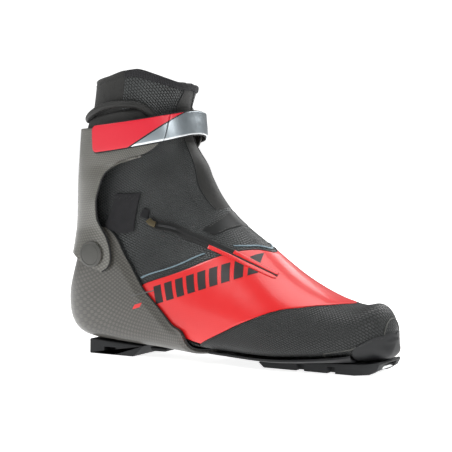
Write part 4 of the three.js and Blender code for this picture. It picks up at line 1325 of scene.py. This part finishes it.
@dataclass
class SoftUpper:
    """The fabric upper: toe box, quarter, ankle and shaft, sewn from one cloth."""

    toe_cloth: Cloth
    upper_cloth: Cloth
    back_cloth: Cloth
    seam_trim: float = 0.25

    def build(self) -> None:
        """Builds and dresses the fabric pieces, front to back."""
        self.toe_box()
        self.quarter()
        self.ankle()
        self.shaft()

    def toe_box(self) -> None:
        """The toe box, a closed cap of fine fabric."""
        piece = band("toe_fabric", toe_tip, toe_seam, math.pi, -math.pi, 0.0, 60, 128,
                     self.toe_cloth, (0, self.seam_trim, 0, 0))
        thicken(piece, FABRIC)
        settle(piece, TOE, "root", "toe_box")

    def quarter(self) -> None:
        """The quarter, from the red panel up to the fold of the ankle."""
        piece = band("quarter_fabric", red_top, fold_low, math.pi, -math.pi, 0.0, 44, 128,
                     self.upper_cloth, (self.seam_trim, 0, 0, 0))
        thicken(piece, FABRIC, 0)
        settle(piece, UPPER, "root", "quarter")

    def ankle(self) -> None:
        """The folding ankle: fabric sides and a smooth front strip."""
        outer, inner = (strip_edge(fold_low, fold_high, sign) for sign in (1, -1))
        sides = (("ankle_fabric_outer", math.pi, outer, UPPER, ("ankle_gusset",)),
                 ("ankle_fabric_inner", inner, -math.pi, UPPER, ()))
        for name, start, end, finish, nodes in sides:
            piece = band(name, fold_low, fold_high, start, end, 0.0, 26, 56, self.upper_cloth)
            thicken(piece, FABRIC, 0)
            settle(piece, finish, None, *nodes)
        front = band("ankle_front_strip", fold_low, fold_high, outer, inner, 0.0, 26, 12,
                     self.upper_cloth)
        thicken(front, FABRIC, 0)
        settle(front, NEOPRENE, None)

    def shaft(self) -> None:
        """The shaft panels above the fold, with the neoprene strip and rear panel."""
        outer, inner = (strip_edge(fold_high, rim, sign) for sign in (1, -1))
        panels = (("shaft_fabric_outer", SEAM_ANGLE, outer, UPPER, self.upper_cloth,
                   ("shaft_panel_lateral",)),
                  ("shaft_fabric_inner", inner, -SEAM_ANGLE, UPPER, self.upper_cloth,
                   ("shaft_panel_medial",)),
                  ("shaft_front_neoprene", outer, inner, NEOPRENE, self.upper_cloth,
                   ("shaft_front_strip",)),
                  ("shaft_rear_neoprene", FULL_TURN - SEAM_ANGLE, SEAM_ANGLE, NEOPRENE,
                   self.back_cloth, ("rear_neoprene_panel",)))
        for name, start, end, finish, cloth, nodes in panels:
            piece = band(name, fold_high, rim, start, end, 0.0, 36, 48, cloth, (0, 0.3, 0, 0))
            thicken(piece, FABRIC, 0.3)
            settle(piece, finish, "cuff", *nodes)


@dataclass
class SeamWork:
    """Piping, stitch rows and the collar binding on the upper."""

    piping: float = 0.55
    binding_height: float = 6.5

    def build(self) -> None:
        """Builds the seams and the binding."""
        self.strip_piping()
        self.collar()
        self.toe_seam_bead()

    def strip_piping(self) -> None:
        """Fine piping and stitches beside the smooth front strip."""
        for side, sign in (("outer", 1), ("inner", -1)):
            for part, low, high, body in (("ankle", fold_low, fold_high, None),
                                          ("shaft", fold_high, rim, "cuff")):
                route = edge_route(low, high, sign)
                piece = cord_on(f"{part}_piping_{side}", route, self.piping, 0.1, 40)
                settle(piece, LIP_FILM, body)
                row = stitch_line(f"{part}_stitches_{side}",
                                  edge_route(low, high, sign, 0.07), 0.0)
                settle(row, THREAD, body)

    def collar(self) -> None:
        """The ribbed elastic binding round the front of the collar, and the rear hem."""
        binding = band("collar_elastic", shifted(rim, -self.binding_height), rim,
                       SEAM_ANGLE, -SEAM_ANGLE, lambda s, _: 0.5 + 1.0 * (1 - (2 * s - 1) ** 4),
                       8, 90)
        thicken(binding, 0.9, 0.3)
        settle(binding, ELASTIC, "cuff", "collar_binding")
        hem = seam_route(rim, SEAM_ANGLE, FULL_TURN - SEAM_ANGLE, -0.6)
        piece = cord_on("rear_collar_hem", hem, 1.0, -0.6, 70, 10)
        settle(piece, NEOPRENE, "cuff")
        row = stitch_line("rear_collar_stitches",
                          seam_route(rim, SEAM_ANGLE, FULL_TURN - SEAM_ANGLE, -4.0), 0.0)
        settle(row, THREAD, "cuff")

    def toe_seam_bead(self) -> None:
        """A stitch row just behind the toe seam, under the red panel's edge."""
        route = seam_route(toe_seam, 2.35, -2.35, -2.4)
        settle(stitch_line("toe_seam_stitches", route, 0.0, width=0.4), THREAD, "root")


@dataclass
class RedPanel:
    """The red overlay, its generic printed bars, and the reflective stripe above it."""

    cloth: Cloth
    raise_by: float = 0.3
    bar_count: int = 9
    bar_width: float = 7.6
    bar_gap: float = 3.6
    bar_height: float = 14.5
    stripe_width: float = 2.2

    def build(self) -> None:
        """Builds the panel, its bars, its edge and the stripe."""
        reach = RED_CORNER - 0.1
        panel = band("red_overlay_film", toe_seam, red_top, reach, -reach, self.raise_by, 34, 150,
                     self.cloth, (0.2, 0.2, 0.2, 0.2))
        thicken(panel, FABRIC + self.raise_by, 0.45)
        settle(panel, FILM, "root", "overlay_panel")
        edge = seam_route(red_top, reach - 0.15, -reach + 0.15, 0.1)
        settle(cord_on("red_panel_edge", edge, 0.5, 0.15, 220), LIP_FILM, "root")
        self.bars()
        self.stripe()

    def bars(self) -> None:
        """Plain slanted bars in dark print along the top of the panel."""
        foot, head = (104.0, 63.5), (196.0, 93.5)
        run = math.hypot(head[0] - foot[0], head[1] - foot[1])
        step = (self.bar_width + self.bar_gap) / run
        for k in range(self.bar_count):
            start = k * step
            end = start + self.bar_width / run
            corners = []
            for share in (start, end):
                x, z = foot[0] + share * (head[0] - foot[0]), foot[1] + share * (head[1] - foot[1])
                corners.append(((x, z), (x + 3.2, z - self.bar_height)))
            (top_back, low_back), (top_front, low_front) = corners
            spots = four_corners(top_back, top_front, low_back, low_front)
            bar = shaped_grid(f"panel_bar_{k + 1}", lambda s, t: SKIN.lifted(
                *spots(s, t), np.full_like(s, self.raise_by + 0.22)), 16, 8,
                lambda s, t: self.cloth.at(*spots(s, t)))
            face_middle(bar, spots)
            thicken(bar, 0.14, 0)
            settle(bar, PRINT, "root")

    def stripe(self) -> None:
        """The two runs of reflective tape, either side of the zip."""
        line = seam((196.5, 97), (188.5, 99.5), (182, 99.5), (167, 98.5), (136.2, 86.8),
                    (89, 67.9))
        rear, before, after = (SKIN.place(p)[1] for p in ((93, 69.5), (151, 93), (173.5, 99.5)))
        runs = (("stripe_tape_rear", rear, before, "reflective_stripe_rear"),
                ("stripe_tape_front", after, -rear, "reflective_stripe_front"))
        half = self.stripe_width / 2
        for name, start, end, node in runs:
            piece = band(name, shifted(line, -half), shifted(line, half), start, end, 0.75, 3, 120)
            thicken(piece, 0.6, 0.25)
            settle(piece, STRIPE, "root", node)


@dataclass
class InstepBand:
    """The smooth welded band over the instep, with its two pale seam lines."""

    cloth: Cloth
    lift: float = 0.35

    def build(self) -> None:
        """Builds the band and its lines."""
        low = seam((171, 115), (163, 111.5), (152, 104))
        high = seam((157.5, 126), (154.5, 121.5), (149.5, 116.5), (144, 112))
        side = SKIN.place((149, 110))[1]
        piece = band("instep_band_film", low, high, side, -side, self.lift, 12, 70, self.cloth)
        thicken(piece, 0.7, 0.35)
        settle(piece, LIP_FILM, "root", "instep_band")
        for name, line, shift in (("instep_line_front", low, 1.6),
                                  ("instep_line_rear", high, -1.6)):
            row = stitch_line(name, seam_route(line, side - 0.05, -side + 0.05, shift), self.lift,
                              length=1.9, pitch=2.3, width=0.35)
            settle(row, PALE_THREAD, "root")


@dataclass
class Zip:
    """The slanted side zip under its welded lips, with slider, pull and garage."""

    lip_width: float = 3.6
    gap: float = 1.3
    tooth_pitch: float = 1.35
    red_from: dict[str, float] = field(default_factory=lambda: {"upper": 0.6, "lower": 0.43})
    route: Route = field(default_factory=lambda: path(
        (97.3, 119.9), (115, 113.4), (134, 106.6), (153, 100.6), (171, 94.3), (188, 87.6),
        (202, 81.8), (213.9, 76.5)))

    def build(self) -> None:
        """Builds the zip from the tape up."""
        tape = strip("zip_tape_strip", self.route, self.gap + 0.4, 0.6, 90, crown=0.1)
        thicken(tape, 0.4, 0)
        settle(tape, ZIP_TAPE, "root", "zip_chain")
        share = even_shares(self.route, self.tooth_pitch, 3)
        for row, sign in (("upper", 1), ("lower", -1)):
            origin, side, normal, forward = frames(self.route, share)
            origin = origin + side * 0.32 * sign + normal * 0.7
            settle(scatter(f"zip_coil_{row}", bead(0.95, 0.8, 0.5), origin,
                           np.stack([forward, side, normal], axis=1)), ZIP_TAPE, "root")
        for row, sign in (("upper", 1), ("lower", -1)):
            name, node = f"zip_lip_film_{row}", f"zip_lip_{row}"
            offset = sign * (self.gap / 2 + self.lip_width / 2)
            change = self.red_from[row]
            lip = strip(name, self.route, self.lip_width, 0.5, 60, offset=offset, crown=0.12,
                        span=(0.0, change))
            thicken(lip, 0.6, 0.28)
            settle(lip, LIP_FILM, "root", node)
            red = strip(f"{name}_red", self.route, lambda s: self.lip_width * np.sqrt(
                np.clip(1 - np.clip(s * 12 - 11, 0, 1) ** 2, 0.1, 1)), 0.7, 50, offset=offset,
                        crown=0.12, span=(change, 1.0))
            thicken(red, 0.6, 0.28)
            settle(red, FILM, "root")
            sewing = stitch_line(f"zip_stitches_{row}", self.route, 0.62, length=1.9, pitch=2.5,
                                 offset=sign * (self.gap / 2 + self.lip_width - 0.9), width=0.4)
            settle(sewing, THREAD, "root")
        self.slider()
        self.garage()

    def slider(self) -> None:
        """The die-cast slider and its tape pull."""
        body = refined_copy("zip_slider_body", "zip_slider", 0.55)
        settle(body, ZIP_METAL, "slider", "zip_slider")
        pull = strip("zip_pull_tab", self.route, 1.7, 4.5, 12, span=(0.09, 0.2))
        thicken(pull, 0.8, 0.3)
        settle(pull, PULL_CORD, "pull", "zip_pull")

    def garage(self) -> None:
        """The folded tape that the slider parks under."""
        cover = refined_copy("zip_garage_fold", "zip_garage", 0.5)
        settle(cover, TAB_WEB, "root", "zip_garage")


@dataclass
class AnkleTab:
    """The webbing tab above the zip, sewn down with a zigzag at its top."""

    lift: float = 1.95
    corners: tuple[Point2, ...] = ((68.2, 141.4), (90, 141.9), (56.5, 112), (84, 109.5))
    zigzag: int = 11

    def build(self) -> None:
        """Builds the tab and its stitches."""
        spots = four_corners(*self.corners)
        tab = face_middle(shaped_grid("ankle_pull_web", lambda s, t: SKIN.lifted(
            *spots(s, t), self.lift + 0.9 * smoothstep(s, 0.55, 1.0)), 30, 22), spots)
        thicken(tab, 1.5, 0.4)
        settle(tab, TAB_WEB, None, "ankle_tab")
        ends = np.linspace(0.06, 0.94, self.zigzag)
        rows = np.where(np.arange(self.zigzag) % 2, 0.06, 0.17)

        def zig(share: Array) -> tuple[Array, Array]:
            """A zigzag over the top of the tab."""
            key = np.asarray(share, float) * (self.zigzag - 1)
            knots = np.arange(self.zigzag)
            return spots(np.interp(key, knots, rows), np.interp(key, knots, ends))

        bartack = stitch_line("ankle_pull_bartack", zig, self.lift, length=2.0, pitch=1.7,
                              width=0.6)
        settle(bartack, THREAD, None)


@dataclass
class Liner:
    """The padded liner, the tongue and its lace loops, and the insole board."""

    cloth: Cloth

    def build(self) -> None:
        """Builds the inner pieces."""
        self.padding("liner_foot_padding", toe_tip, fold_low, 70, "root", "liner_foot")
        self.padding("liner_ankle_padding", fold_low, fold_high, 24, None, "liner_ankle")
        self.padding("liner_shaft_padding", fold_high, rim, 36, "cuff", "liner_shaft")
        tongue_start = SKIN.place((232, 79))[0]
        tongue = band("tongue_padding", lambda a: np.full_like(a, tongue_start),
                      lambda a: fold_low(a) - 0.1, 0.5, -0.5,
                      lambda s, _: LACE_TOP - 0.3 + 0.3 * np.sin(math.pi * s), 40, 24, self.cloth)
        thicken(tongue, LACE_LAYER - 0.3, 0.3)
        settle(tongue, LINING, "root", "tongue")
        self.loops()
        board = refined_copy("insole_board_felt", "insole_board", 0.6, 2)
        settle(board, INSOLE_FELT, "root", "insole_board")

    def padding(self, name: str, low: Along, high: Along, rows: int, body: str | None,
                node: str) -> None:
        """One soft part of the liner."""
        piece = band(name, low, high, math.pi, -math.pi, LINER_TOP, rows, 110, self.cloth)
        thicken(piece, LINER, 0)
        settle(piece, LINING, body, node)

    def loops(self) -> None:
        """The webbing loops that guide the lace under the zip."""
        start, end = SKIN.place((214, 80))[0], SKIN.place((170, 100))[0]
        for side, sign in (("lateral", 1), ("medial", -1)):
            for k in range(4):
                u = mix(start, end, k / 3)
                loop = band(f"lace_web_{side}_{k + 1}", lambda a, u=u: np.full_like(a, u - 0.07),
                            lambda a, u=u: np.full_like(a, u + 0.07), sign * 0.6, sign * 0.92,
                            LACE_TOP, 6, 12)
                thicken(loop, LACE_LAYER, 0.3)
                settle(loop, TAB_WEB, "root", f"lace_loop_{side}_{k + 1}")


@dataclass
class Shell:
    """The carbon heel cup, the sole plate and the toe rand."""

    cloth: Cloth
    edge_thinning: float = 1.6

    def build(self) -> None:
        """Builds the shell."""
        self.cup()
        self.plate()
        self.rand()

    def cup(self) -> None:
        """The heel cup, with a dark line along its edge."""
        edge = path((150.8, 12.4), (137, 23), (122.6, 34.5), (99.6, 56), (80.4, 82), (69, 101.5),
                    (58, 111.5), (46, 109), (32, 97), (20, 89))
        start, end = SKIN.place(SOLE_SPLIT)[0], SKIN.place((15.5, 87))[0]

        def back(s: Array) -> tuple[Array, Array]:
            """The middle line from the arch to the heel notch."""
            return mix(start, end, s), np.full_like(s, math.pi)

        def lift(s: Array, t: Array) -> Array:
            """Outer face of the cup: higher at its front corner, thinner along its edge."""
            near = 1 - smoothstep(np.minimum(t, 1 - t), 0.0, 0.07)
            return (SHELL_GAP + CUP_CORNER_LIFT * (1 - smoothstep(s, 0, 0.3)) + SHELL_WALL
                    - self.edge_thinning * near)

        cup = wrapped("heel_cup_carbon", edge, back, lift, 84, 120, self.cloth)
        thicken(cup, SHELL_WALL, 0.7, 3)
        settle(cup, CUP_CARBON, "root", "heel_cup")
        for side, sign in (("outer", 1), ("inner", -1)):
            bead_line = cord_on(f"cup_edge_line_{side}", on_side(edge, sign), 0.8,
                                SHELL_GAP - 0.6, 160)
            settle(bead_line, RAND, "root")

    def plate(self) -> None:
        """The sole plate that the front rails are bonded to."""
        edge = path((281, 19.5), (262, 17), (233, 14.5), (207, 13.5), (154, 14.5))
        start, end = SKIN.place((281, 20))[0], SKIN.place((153, 12.6))[0]

        def back(s: Array) -> tuple[Array, Array]:
            """The middle line under the sole."""
            return mix(start, end, s), np.full_like(s, math.pi)

        plate = wrapped("sole_plate_nylon", edge, back,
                        lambda s, t: np.full_like(s, SHELL_GAP + PLATE_WALL), 60, 60, self.cloth)
        thicken(plate, PLATE_WALL, 0.6)
        settle(plate, RAND, "root", "sole_plate")

    def rand(self) -> None:
        """The rubber rand round the toe, with a fine raised line at its top."""
        places = [SKIN.place(p) for p in ((302.5, 33), (291, 28), (283, 21.5))]
        keys = [0.0, *(angle for _, angle in places), math.pi]
        curve = smooth_curve(keys, [0.46, *(u for u, _ in places), places[-1][0]], True)

        def edge(angle: Array) -> Array:
            """The rand's upper edge."""
            return curve(folded(angle))

        def lift(s: Array, angle: Array) -> Array:
            """Full height under the sole, thinning to the toe box at the upper edge."""
            upper = 1 - smoothstep(folded(angle), 1.75, 2.5)
            return mix(1.4, SHELL_GAP + PLATE_WALL - 4.0 * upper, smoothstep(s, 0.0, 0.55))

        rand = band("toe_rand_rubber", toe_tip, edge, math.pi, -math.pi, lift, 40, 96)
        thicken(rand, PLATE_WALL, 0.7, 3)
        settle(rand, RAND, "root", "toe_rand")
        lip = cord_on("sole_lip_line", seam_route(self.lip(), 2.6, -2.6), 0.5, 0.2, 200)
        settle(lip, CAP, "root")

    @staticmethod
    def lip() -> Along:
        """The line where the toe box meets the sole."""
        return seam((302.5, 31), (291, 26.4), (281, 21.8), (262, 19))


@dataclass
class Outsole:
    """The moulded sole blocks and the steel toe bar."""

    def build(self) -> None:
        """Builds the blocks with rounded edges."""
        for name, node, rounding in (("front_sole_block", "outsole_front", 0.9),
                                     ("heel_sole_block", "outsole_heel", 0.9),
                                     ("arch_lug_block", "arch_lug", 0.8)):
            settle(refined_copy(name, node, rounding), RUBBER, "root", node)
        settle(refined_copy("toe_bar_steel", "toe_bar", 0.5), STEEL, "root", "toe_bar")


@dataclass
class Cuff:
    """The carbon cuff, its padded lining, piping and pivots."""

    cloth: Cloth
    pad_rise: float = 4.35
    roll_radius: float = 3.2
    edge: Route = field(default_factory=lambda: path(
        (56, 74.5), (63, 79.5), (65, 88), (62.5, 101), (54.8, 116), (53.5, 132), (57, 146),
        (64, 160), (80, 170.5), (97, 177), (104, 188), (99, 203.5)))
    back: Route = field(default_factory=lambda: path(
        (13.5, 89), (13.8, 91), (14.6, 95), (16, 101), (17, 110), (18, 122), (19, 136),
        (20, 148), (20.5, 160), (21, 172), (22.5, 184), (25, 195)))
    pad_edge: Route = field(default_factory=lambda: path(
        (38, 120), (37, 134), (40, 147), (51, 159), (67, 167), (84, 172.5), (98, 180),
        (101, 192), (98, 205), (92, 213.5)))
    pad_back: Route = field(default_factory=lambda: path(
        (17, 108), (18, 118), (19, 130), (20, 142), (20.5, 154), (21, 166), (22, 177),
        (23, 186), (24.5, 193), (26, 200)))

    def build(self) -> None:
        """Builds the cuff from the inside out."""
        self.pad()
        self.shell()
        self.pivots()

    @staticmethod
    def standoff(s: Array, t: Array) -> Array:
        """Inner face of the cuff: close at the pivot lobes, further off above."""
        front = np.abs(2 * t - 1) ** 3
        waist = smoothstep(s, 0.3, 0.48) * (1 - smoothstep(s, 0.6, 0.8))
        return (mix(CUFF_LOBE_LIFT, CUFF_STANDOFF, smoothstep(s, 0.26, 0.46))
                + 2 * front * waist)

    def shell(self) -> None:
        """The carbon cuff and the dark line along its edge."""
        shell = wrapped("cuff_carbon", self.edge, self.back,
                        lambda s, t: self.standoff(s, t) + CUFF_WALL, 90, 120, self.cloth)
        thicken(shell, CUFF_WALL, 0.8, 3)
        settle(shell, CUFF_CARBON, "cuff", "cuff")
        for side, sign in (("outer", 1), ("inner", -1)):
            bead_line = cord_on(f"cuff_edge_line_{side}", on_side(self.edge, sign), 0.9,
                                lambda s: self.standoff(s, 0 * s) + 0.7, 160)
            settle(bead_line, RAND, "cuff")

    def pad(self) -> None:
        """The padded lining that shows round the cuff's edge, and its piping."""
        def lift(s: Array, t: Array) -> Array:
            """A crowned face that falls to its sewn edges."""
            inside = 1 - np.maximum(np.abs(2 * s - 1), np.abs(2 * t - 1)) ** 6
            return 1.5 + (self.pad_rise - 1.5) * np.clip(inside, 0, 1) ** 0.6

        pad = wrapped("cuff_pad_foam", self.pad_edge, self.pad_back, lift, 50, 100, self.cloth)
        thicken(pad, 1.1, 0.4)
        settle(pad, NEOPRENE, "cuff", "cuff_padding")
        settle(cord_on("cuff_pad_roll", self.roll_line(), self.roll_radius, self.roll_radius + 0.2,
                       150, 14), NEOPRENE, "cuff", "cuff_piping")

    def roll_line(self) -> Route:
        """The middle of the padded roll: up the pad's front edge and round its top."""
        half = path((101, 194), (99.5, 203), (95.5, 211), (87, 216), (66, 215.5), (51, 211.5),
                    (38, 206), (30, 202.5))
        u, angle = half(np.linspace(0, 1, 80))
        u, angle = np.append(u, u[::-1]), np.append(angle, FULL_TURN - angle[::-1])
        keys = np.linspace(0, 1, len(u))
        return lambda share: (np.interp(share, keys, u), np.interp(share, keys, angle))

    def pivots(self) -> None:
        """The domed caps over the pivot posts."""
        profile = ((0, 0.0), (10.6, 0.0), (11.0, 0.4), (11.0, 1.1), (10.7, 1.7), (10.0, 2.1),
                   (9.1, 2.25), (8.8, 2.0), (8.4, 2.0), (8.1, 2.35), (6.5, 2.75), (4.0, 3.0),
                   (2.0, 3.15), (0, 3.2))
        for side, sign in (("lateral", -1), ("medial", 1)):
            low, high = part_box(f"pivot_cap_{side}")
            foot = (low[1] if sign > 0 else high[1]) / MM - FRAME_SHIFT[1]
            cap = turned(f"pivot_dome_{side}", profile, (PIVOT[0], foot, PIVOT[1]), sign)
            settle(cap, CAP, "cuff", f"pivot_cap_{side}")


@dataclass
class Strap:
    """The closing strap: printed free end, front run, riveted tab and loop patch."""

    corner_radius: float = 5.0
    backing: float = 1.3
    middle: Along = field(default_factory=lambda: seam(
        (48, 185), (72, 189.5), (99, 195), (110, 197.5), (115.3, 198.5)))
    joint_gap: float = 0.12

    def build(self) -> None:
        """Builds the strap's runs, rivets and patch."""
        tip, corner = SKIN.place((53, 186))[1], SKIN.place((106, 196.5))[1]
        hinge, anchor = -SKIN.place((86, 192))[1], -SKIN.place((66, 188.5))[1]
        self.run("strap_free_end", tip, corner, "strap_end", STRAP_PRINT, "strap_free_end", True)
        self.run("strap_front_run", corner, hinge, "strap", STRAP_SATIN, "strap_front", False)
        self.run("strap_anchor_run", hinge, anchor, "cuff", STRAP_PLAIN, "strap_anchor_tab", False)
        self.patch(tip)
        self.rivets()

    def run(self, name: str, start: float, end: float, body: str, finish: Finish, node: str,
            rounded: bool) -> None:
        """One run of the strap, with the dark web that backs it."""
        layers = (("_face", STRAP_LIFT + STRAP_THICKNESS, 1.4, STRAP_WIDTH - 2.2, finish, 0.5),
                  ("_web", STRAP_LIFT + 1.0, 1.0, STRAP_WIDTH, BACKING, 0.4))
        for suffix, lift, wall, width, cover, rounding in layers:
            piece = self.sheet(name + suffix, start, end, lift, width, rounded,
                               0.0 if suffix == "_web" else self.backing)
            thicken(piece, wall, rounding)
            settle(piece, cover, body, *((node,) if suffix == "_face" else ()))

    @staticmethod
    def drop(angle: Array) -> Array:
        """How much closer to the skin the strap runs over the shin than on the cuff."""
        corner, hinge = SKIN.place((106, 196.5))[1], -SKIN.place((86, 192))[1]
        share = angle / np.where(angle > 0, corner, hinge)
        return STRAP_FRONT_DROP * (1 - smoothstep(share, 0, 0.55))

    def sheet(self, name: str, start: float, end: float, lift: float, width: float,
              rounded: bool, inset: float) -> bpy.types.Object:
        """A sheet along the strap's middle line, its free end rounded."""
        sample = np.linspace(start, end, 200)
        points = SKIN.lifted(self.middle(sample), sample, lift - self.drop(sample))
        lengths = np.concatenate([[0.0], np.cumsum(
            np.linalg.norm(np.diff(points, axis=0), axis=1))])
        total = lengths[-1]
        first = inset if rounded else self.joint_gap
        last = total - self.joint_gap

        def place(s: Array, t: Array) -> tuple[Array, Array, Array, Array]:
            """Length along, distance across and place of the strap."""
            run = mix(first, last, t if not rounded else t ** 1.15)
            angle = np.interp(run, lengths, sample)
            half = np.full_like(run, width / 2)
            if rounded:
                radius = self.corner_radius - inset / 2
                back = np.clip(radius - (run - first), 0, radius)
                half = half - radius + np.sqrt(np.maximum(radius ** 2 - back ** 2, 0))
            drop = (2 * s - 1) * half
            u = self.middle(angle) + drop / SKIN.speed(self.middle(angle), angle)
            return run, drop, u, angle

        def point(s: Array, t: Array) -> Array:
            """Points of the strap, gently crowned."""
            _, drop, u, angle = place(s, t)
            crown = 0.25 * (1 - (drop / (width / 2)) ** 4) - 0.25
            return SKIN.lifted(u, angle, lift + crown - self.drop(angle))

        def flat(s: Array, t: Array) -> Array:
            """Length along and height across, in metres."""
            run, drop, _, _ = place(s, t)
            return np.column_stack([run, drop + width / 2]) * MM

        return face_middle(shaped_grid(name, point, 20, 90, flat), lambda s, t: place(s, t)[2:])

    def patch(self, tip: float) -> None:
        """The loop patch on the cuff under the strap's free end."""
        end = SKIN.place((97, 192))[1]
        patch = band("strap_loop_pile", shifted(self.middle, -10.5), shifted(self.middle, 9.5),
                     tip - 0.1, end, CUFF_STANDOFF + CUFF_WALL + 1.35, 16, 40)
        thicken(patch, 0.95, 0.3)
        settle(patch, TAB_WEB, "cuff", "loop_patch")

    def rivets(self) -> None:
        """Domed rivet heads on the anchor tab."""
        for name in ("lower", "upper"):
            settle(refined_copy(f"strap_rivet_head_{name}", f"strap_rivet_{name}", 0.5), STEEL,
                   "cuff", f"strap_rivet_{name}")


@dataclass
class SmallMarks:
    """Plain marks on the heel cup: a red slant and a thin grey line."""

    def build(self) -> None:
        """Builds the marks."""
        cup_lift = SHELL_GAP + SHELL_WALL + 0.12
        self.mark("cup_red_slant", ((88, 47.5), (95.5, 49.8), (85.8, 43.6), (93.3, 45.9)),
                  cup_lift, FILM, "root")
        self.mark("cup_grey_line", ((84, 55.4), (108, 61.2), (83.4, 54.2), (107.4, 60)),
                  cup_lift, PALE_THREAD, "root")

    @staticmethod
    def mark(name: str, corners: Sequence[Point2], lift: float, finish: Finish,
             body: str) -> None:
        """One flat mark between four side-view corners."""
        spots = four_corners(*corners)
        piece = face_middle(shaped_grid(name, lambda s, t: SKIN.lifted(
            *spots(s, t), np.full_like(s, lift)), 6, 12), spots)
        thicken(piece, 0.1, 0)
        settle(piece, finish, body)


@dataclass
class Studio:
    """The pale floor, soft lights and the camera."""

    eye: tuple[float, float, float] = (0.6482, -1.1268, 0.205)
    aim: tuple[float, float, float] = (-0.0018, -0.0010, 0.114)
    lens: float = 123.5
    shift_x: float = -0.0044
    air: float = 0.2
    backdrop: float = 1.2
    glow: float = 0.86

    def build(self) -> None:
        """Builds the studio."""
        self.floor()
        self.lights()
        self.camera()

    def floor(self) -> None:
        """A wide pale floor."""
        bpy.ops.object.select_all(action="DESELECT")
        bpy.ops.mesh.primitive_plane_add(size=40)
        floor = bpy.context.object
        floor.name = "floor"
        paper = bpy.data.materials.new("studio_paper")
        paper.use_nodes = True
        tree = paper.node_tree
        shader = tree.nodes["Principled BSDF"]
        shader.inputs["Roughness"].default_value = 0.9
        shader.inputs["Emission Color"].default_value = linear("#FFFFFF")
        shader.inputs["Emission Strength"].default_value = self.glow
        where = add_node(tree, "TexCoord", output="Object")
        tone = add_node(tree, "Mix", {
            0: add_node(tree, "TexNoise", cloudy(where, 400)), 6: linear("#F4F4F4"),
            7: linear("#EEEEEE")}, 2, data_type="RGBA")
        tree.links.new(tone, shader.inputs["Base Color"])
        floor.data.materials.append(paper)

    def lights(self) -> None:
        """A large top light, a key from the left front, a fill and a rim light."""
        setups = (("top", (0.1, 0.1, 1.6), 1.2, 19), ("key", (-1.2, -1.2, 1.3), 0.6, 14),
                  ("fill", (1.7, -0.9, 0.8), 0.7, 9), ("rim", (0.4, 1.6, 1.1), 1.0, 16))
        for name, spot, size, power in setups:
            light = bpy.data.lights.new(name, "AREA")
            light.size = size
            light.energy = power
            lamp = bpy.data.objects.new(name, light)
            lamp.location = spot
            lamp.rotation_euler = look(spot, (0, 0, 0.1))
            bpy.context.scene.collection.objects.link(lamp)
        world = bpy.data.worlds.new("studio_air")
        world.use_nodes = True
        backdrop = world.node_tree.nodes["Background"]
        backdrop.inputs["Color"].default_value = linear("#FFFFFF")
        seen = add_node(world.node_tree, "LightPath", output="Is Camera Ray")
        strength = add_node(world.node_tree, "MapRange", {
            "Value": seen, "To Min": self.air, "To Max": self.backdrop})
        world.node_tree.links.new(strength, backdrop.inputs["Strength"])
        bpy.context.scene.world = world
        bpy.context.scene.view_settings.view_transform = "Standard"

    def camera(self) -> None:
        """The camera, level and a little above the boot."""
        data = bpy.data.cameras.new("camera")
        data.lens = self.lens
        data.sensor_width = 36
        data.shift_x = self.shift_x
        camera = bpy.data.objects.new("camera", data)
        camera.location = self.eye
        camera.rotation_euler = look(self.eye, self.aim)
        bpy.context.scene.collection.objects.link(camera)
        bpy.context.scene.camera = camera


def look(eye: Sequence[float], aim: Sequence[float]) -> tuple[float, float, float]:
    """The turn that points a light or camera from one place to another."""
    line = np.array(aim, float) - np.array(eye, float)
    flat = math.hypot(line[0], line[1])
    return math.atan2(flat, -line[2]), 0.0, math.atan2(-line[0], line[1])


def dress_posts() -> None:
    """Gives the pivot posts, which stay as they are, their steel."""
    for side in ("lateral", "medial"):
        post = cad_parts[f"pivot_post_{side}"]
        for holder in post.material_slots:
            holder.material = STEEL.material()


def main() -> None:
    """Builds the boot piece by piece and reports each one."""
    logging.basicConfig(level=logging.INFO, format="%(name)s %(message)s")
    toe_cloth = Cloth((0.3, 9.0), (-math.pi, math.pi))
    upper_cloth = Cloth((6.0, 17.0), (-math.pi, math.pi))
    back_cloth = Cloth((6.5, 17.0), (0.3, FULL_TURN - 0.3))
    Studio().build()
    for part in (SoftUpper(toe_cloth, upper_cloth, back_cloth), SeamWork(), RedPanel(toe_cloth),
                 InstepBand(upper_cloth), Zip(), AnkleTab(), Liner(upper_cloth),
                 Shell(back_cloth), Outsole(), Cuff(back_cloth), Strap(), SmallMarks()):
        part.build()
    dress_posts()


if __name__ == "__main__":
    main()
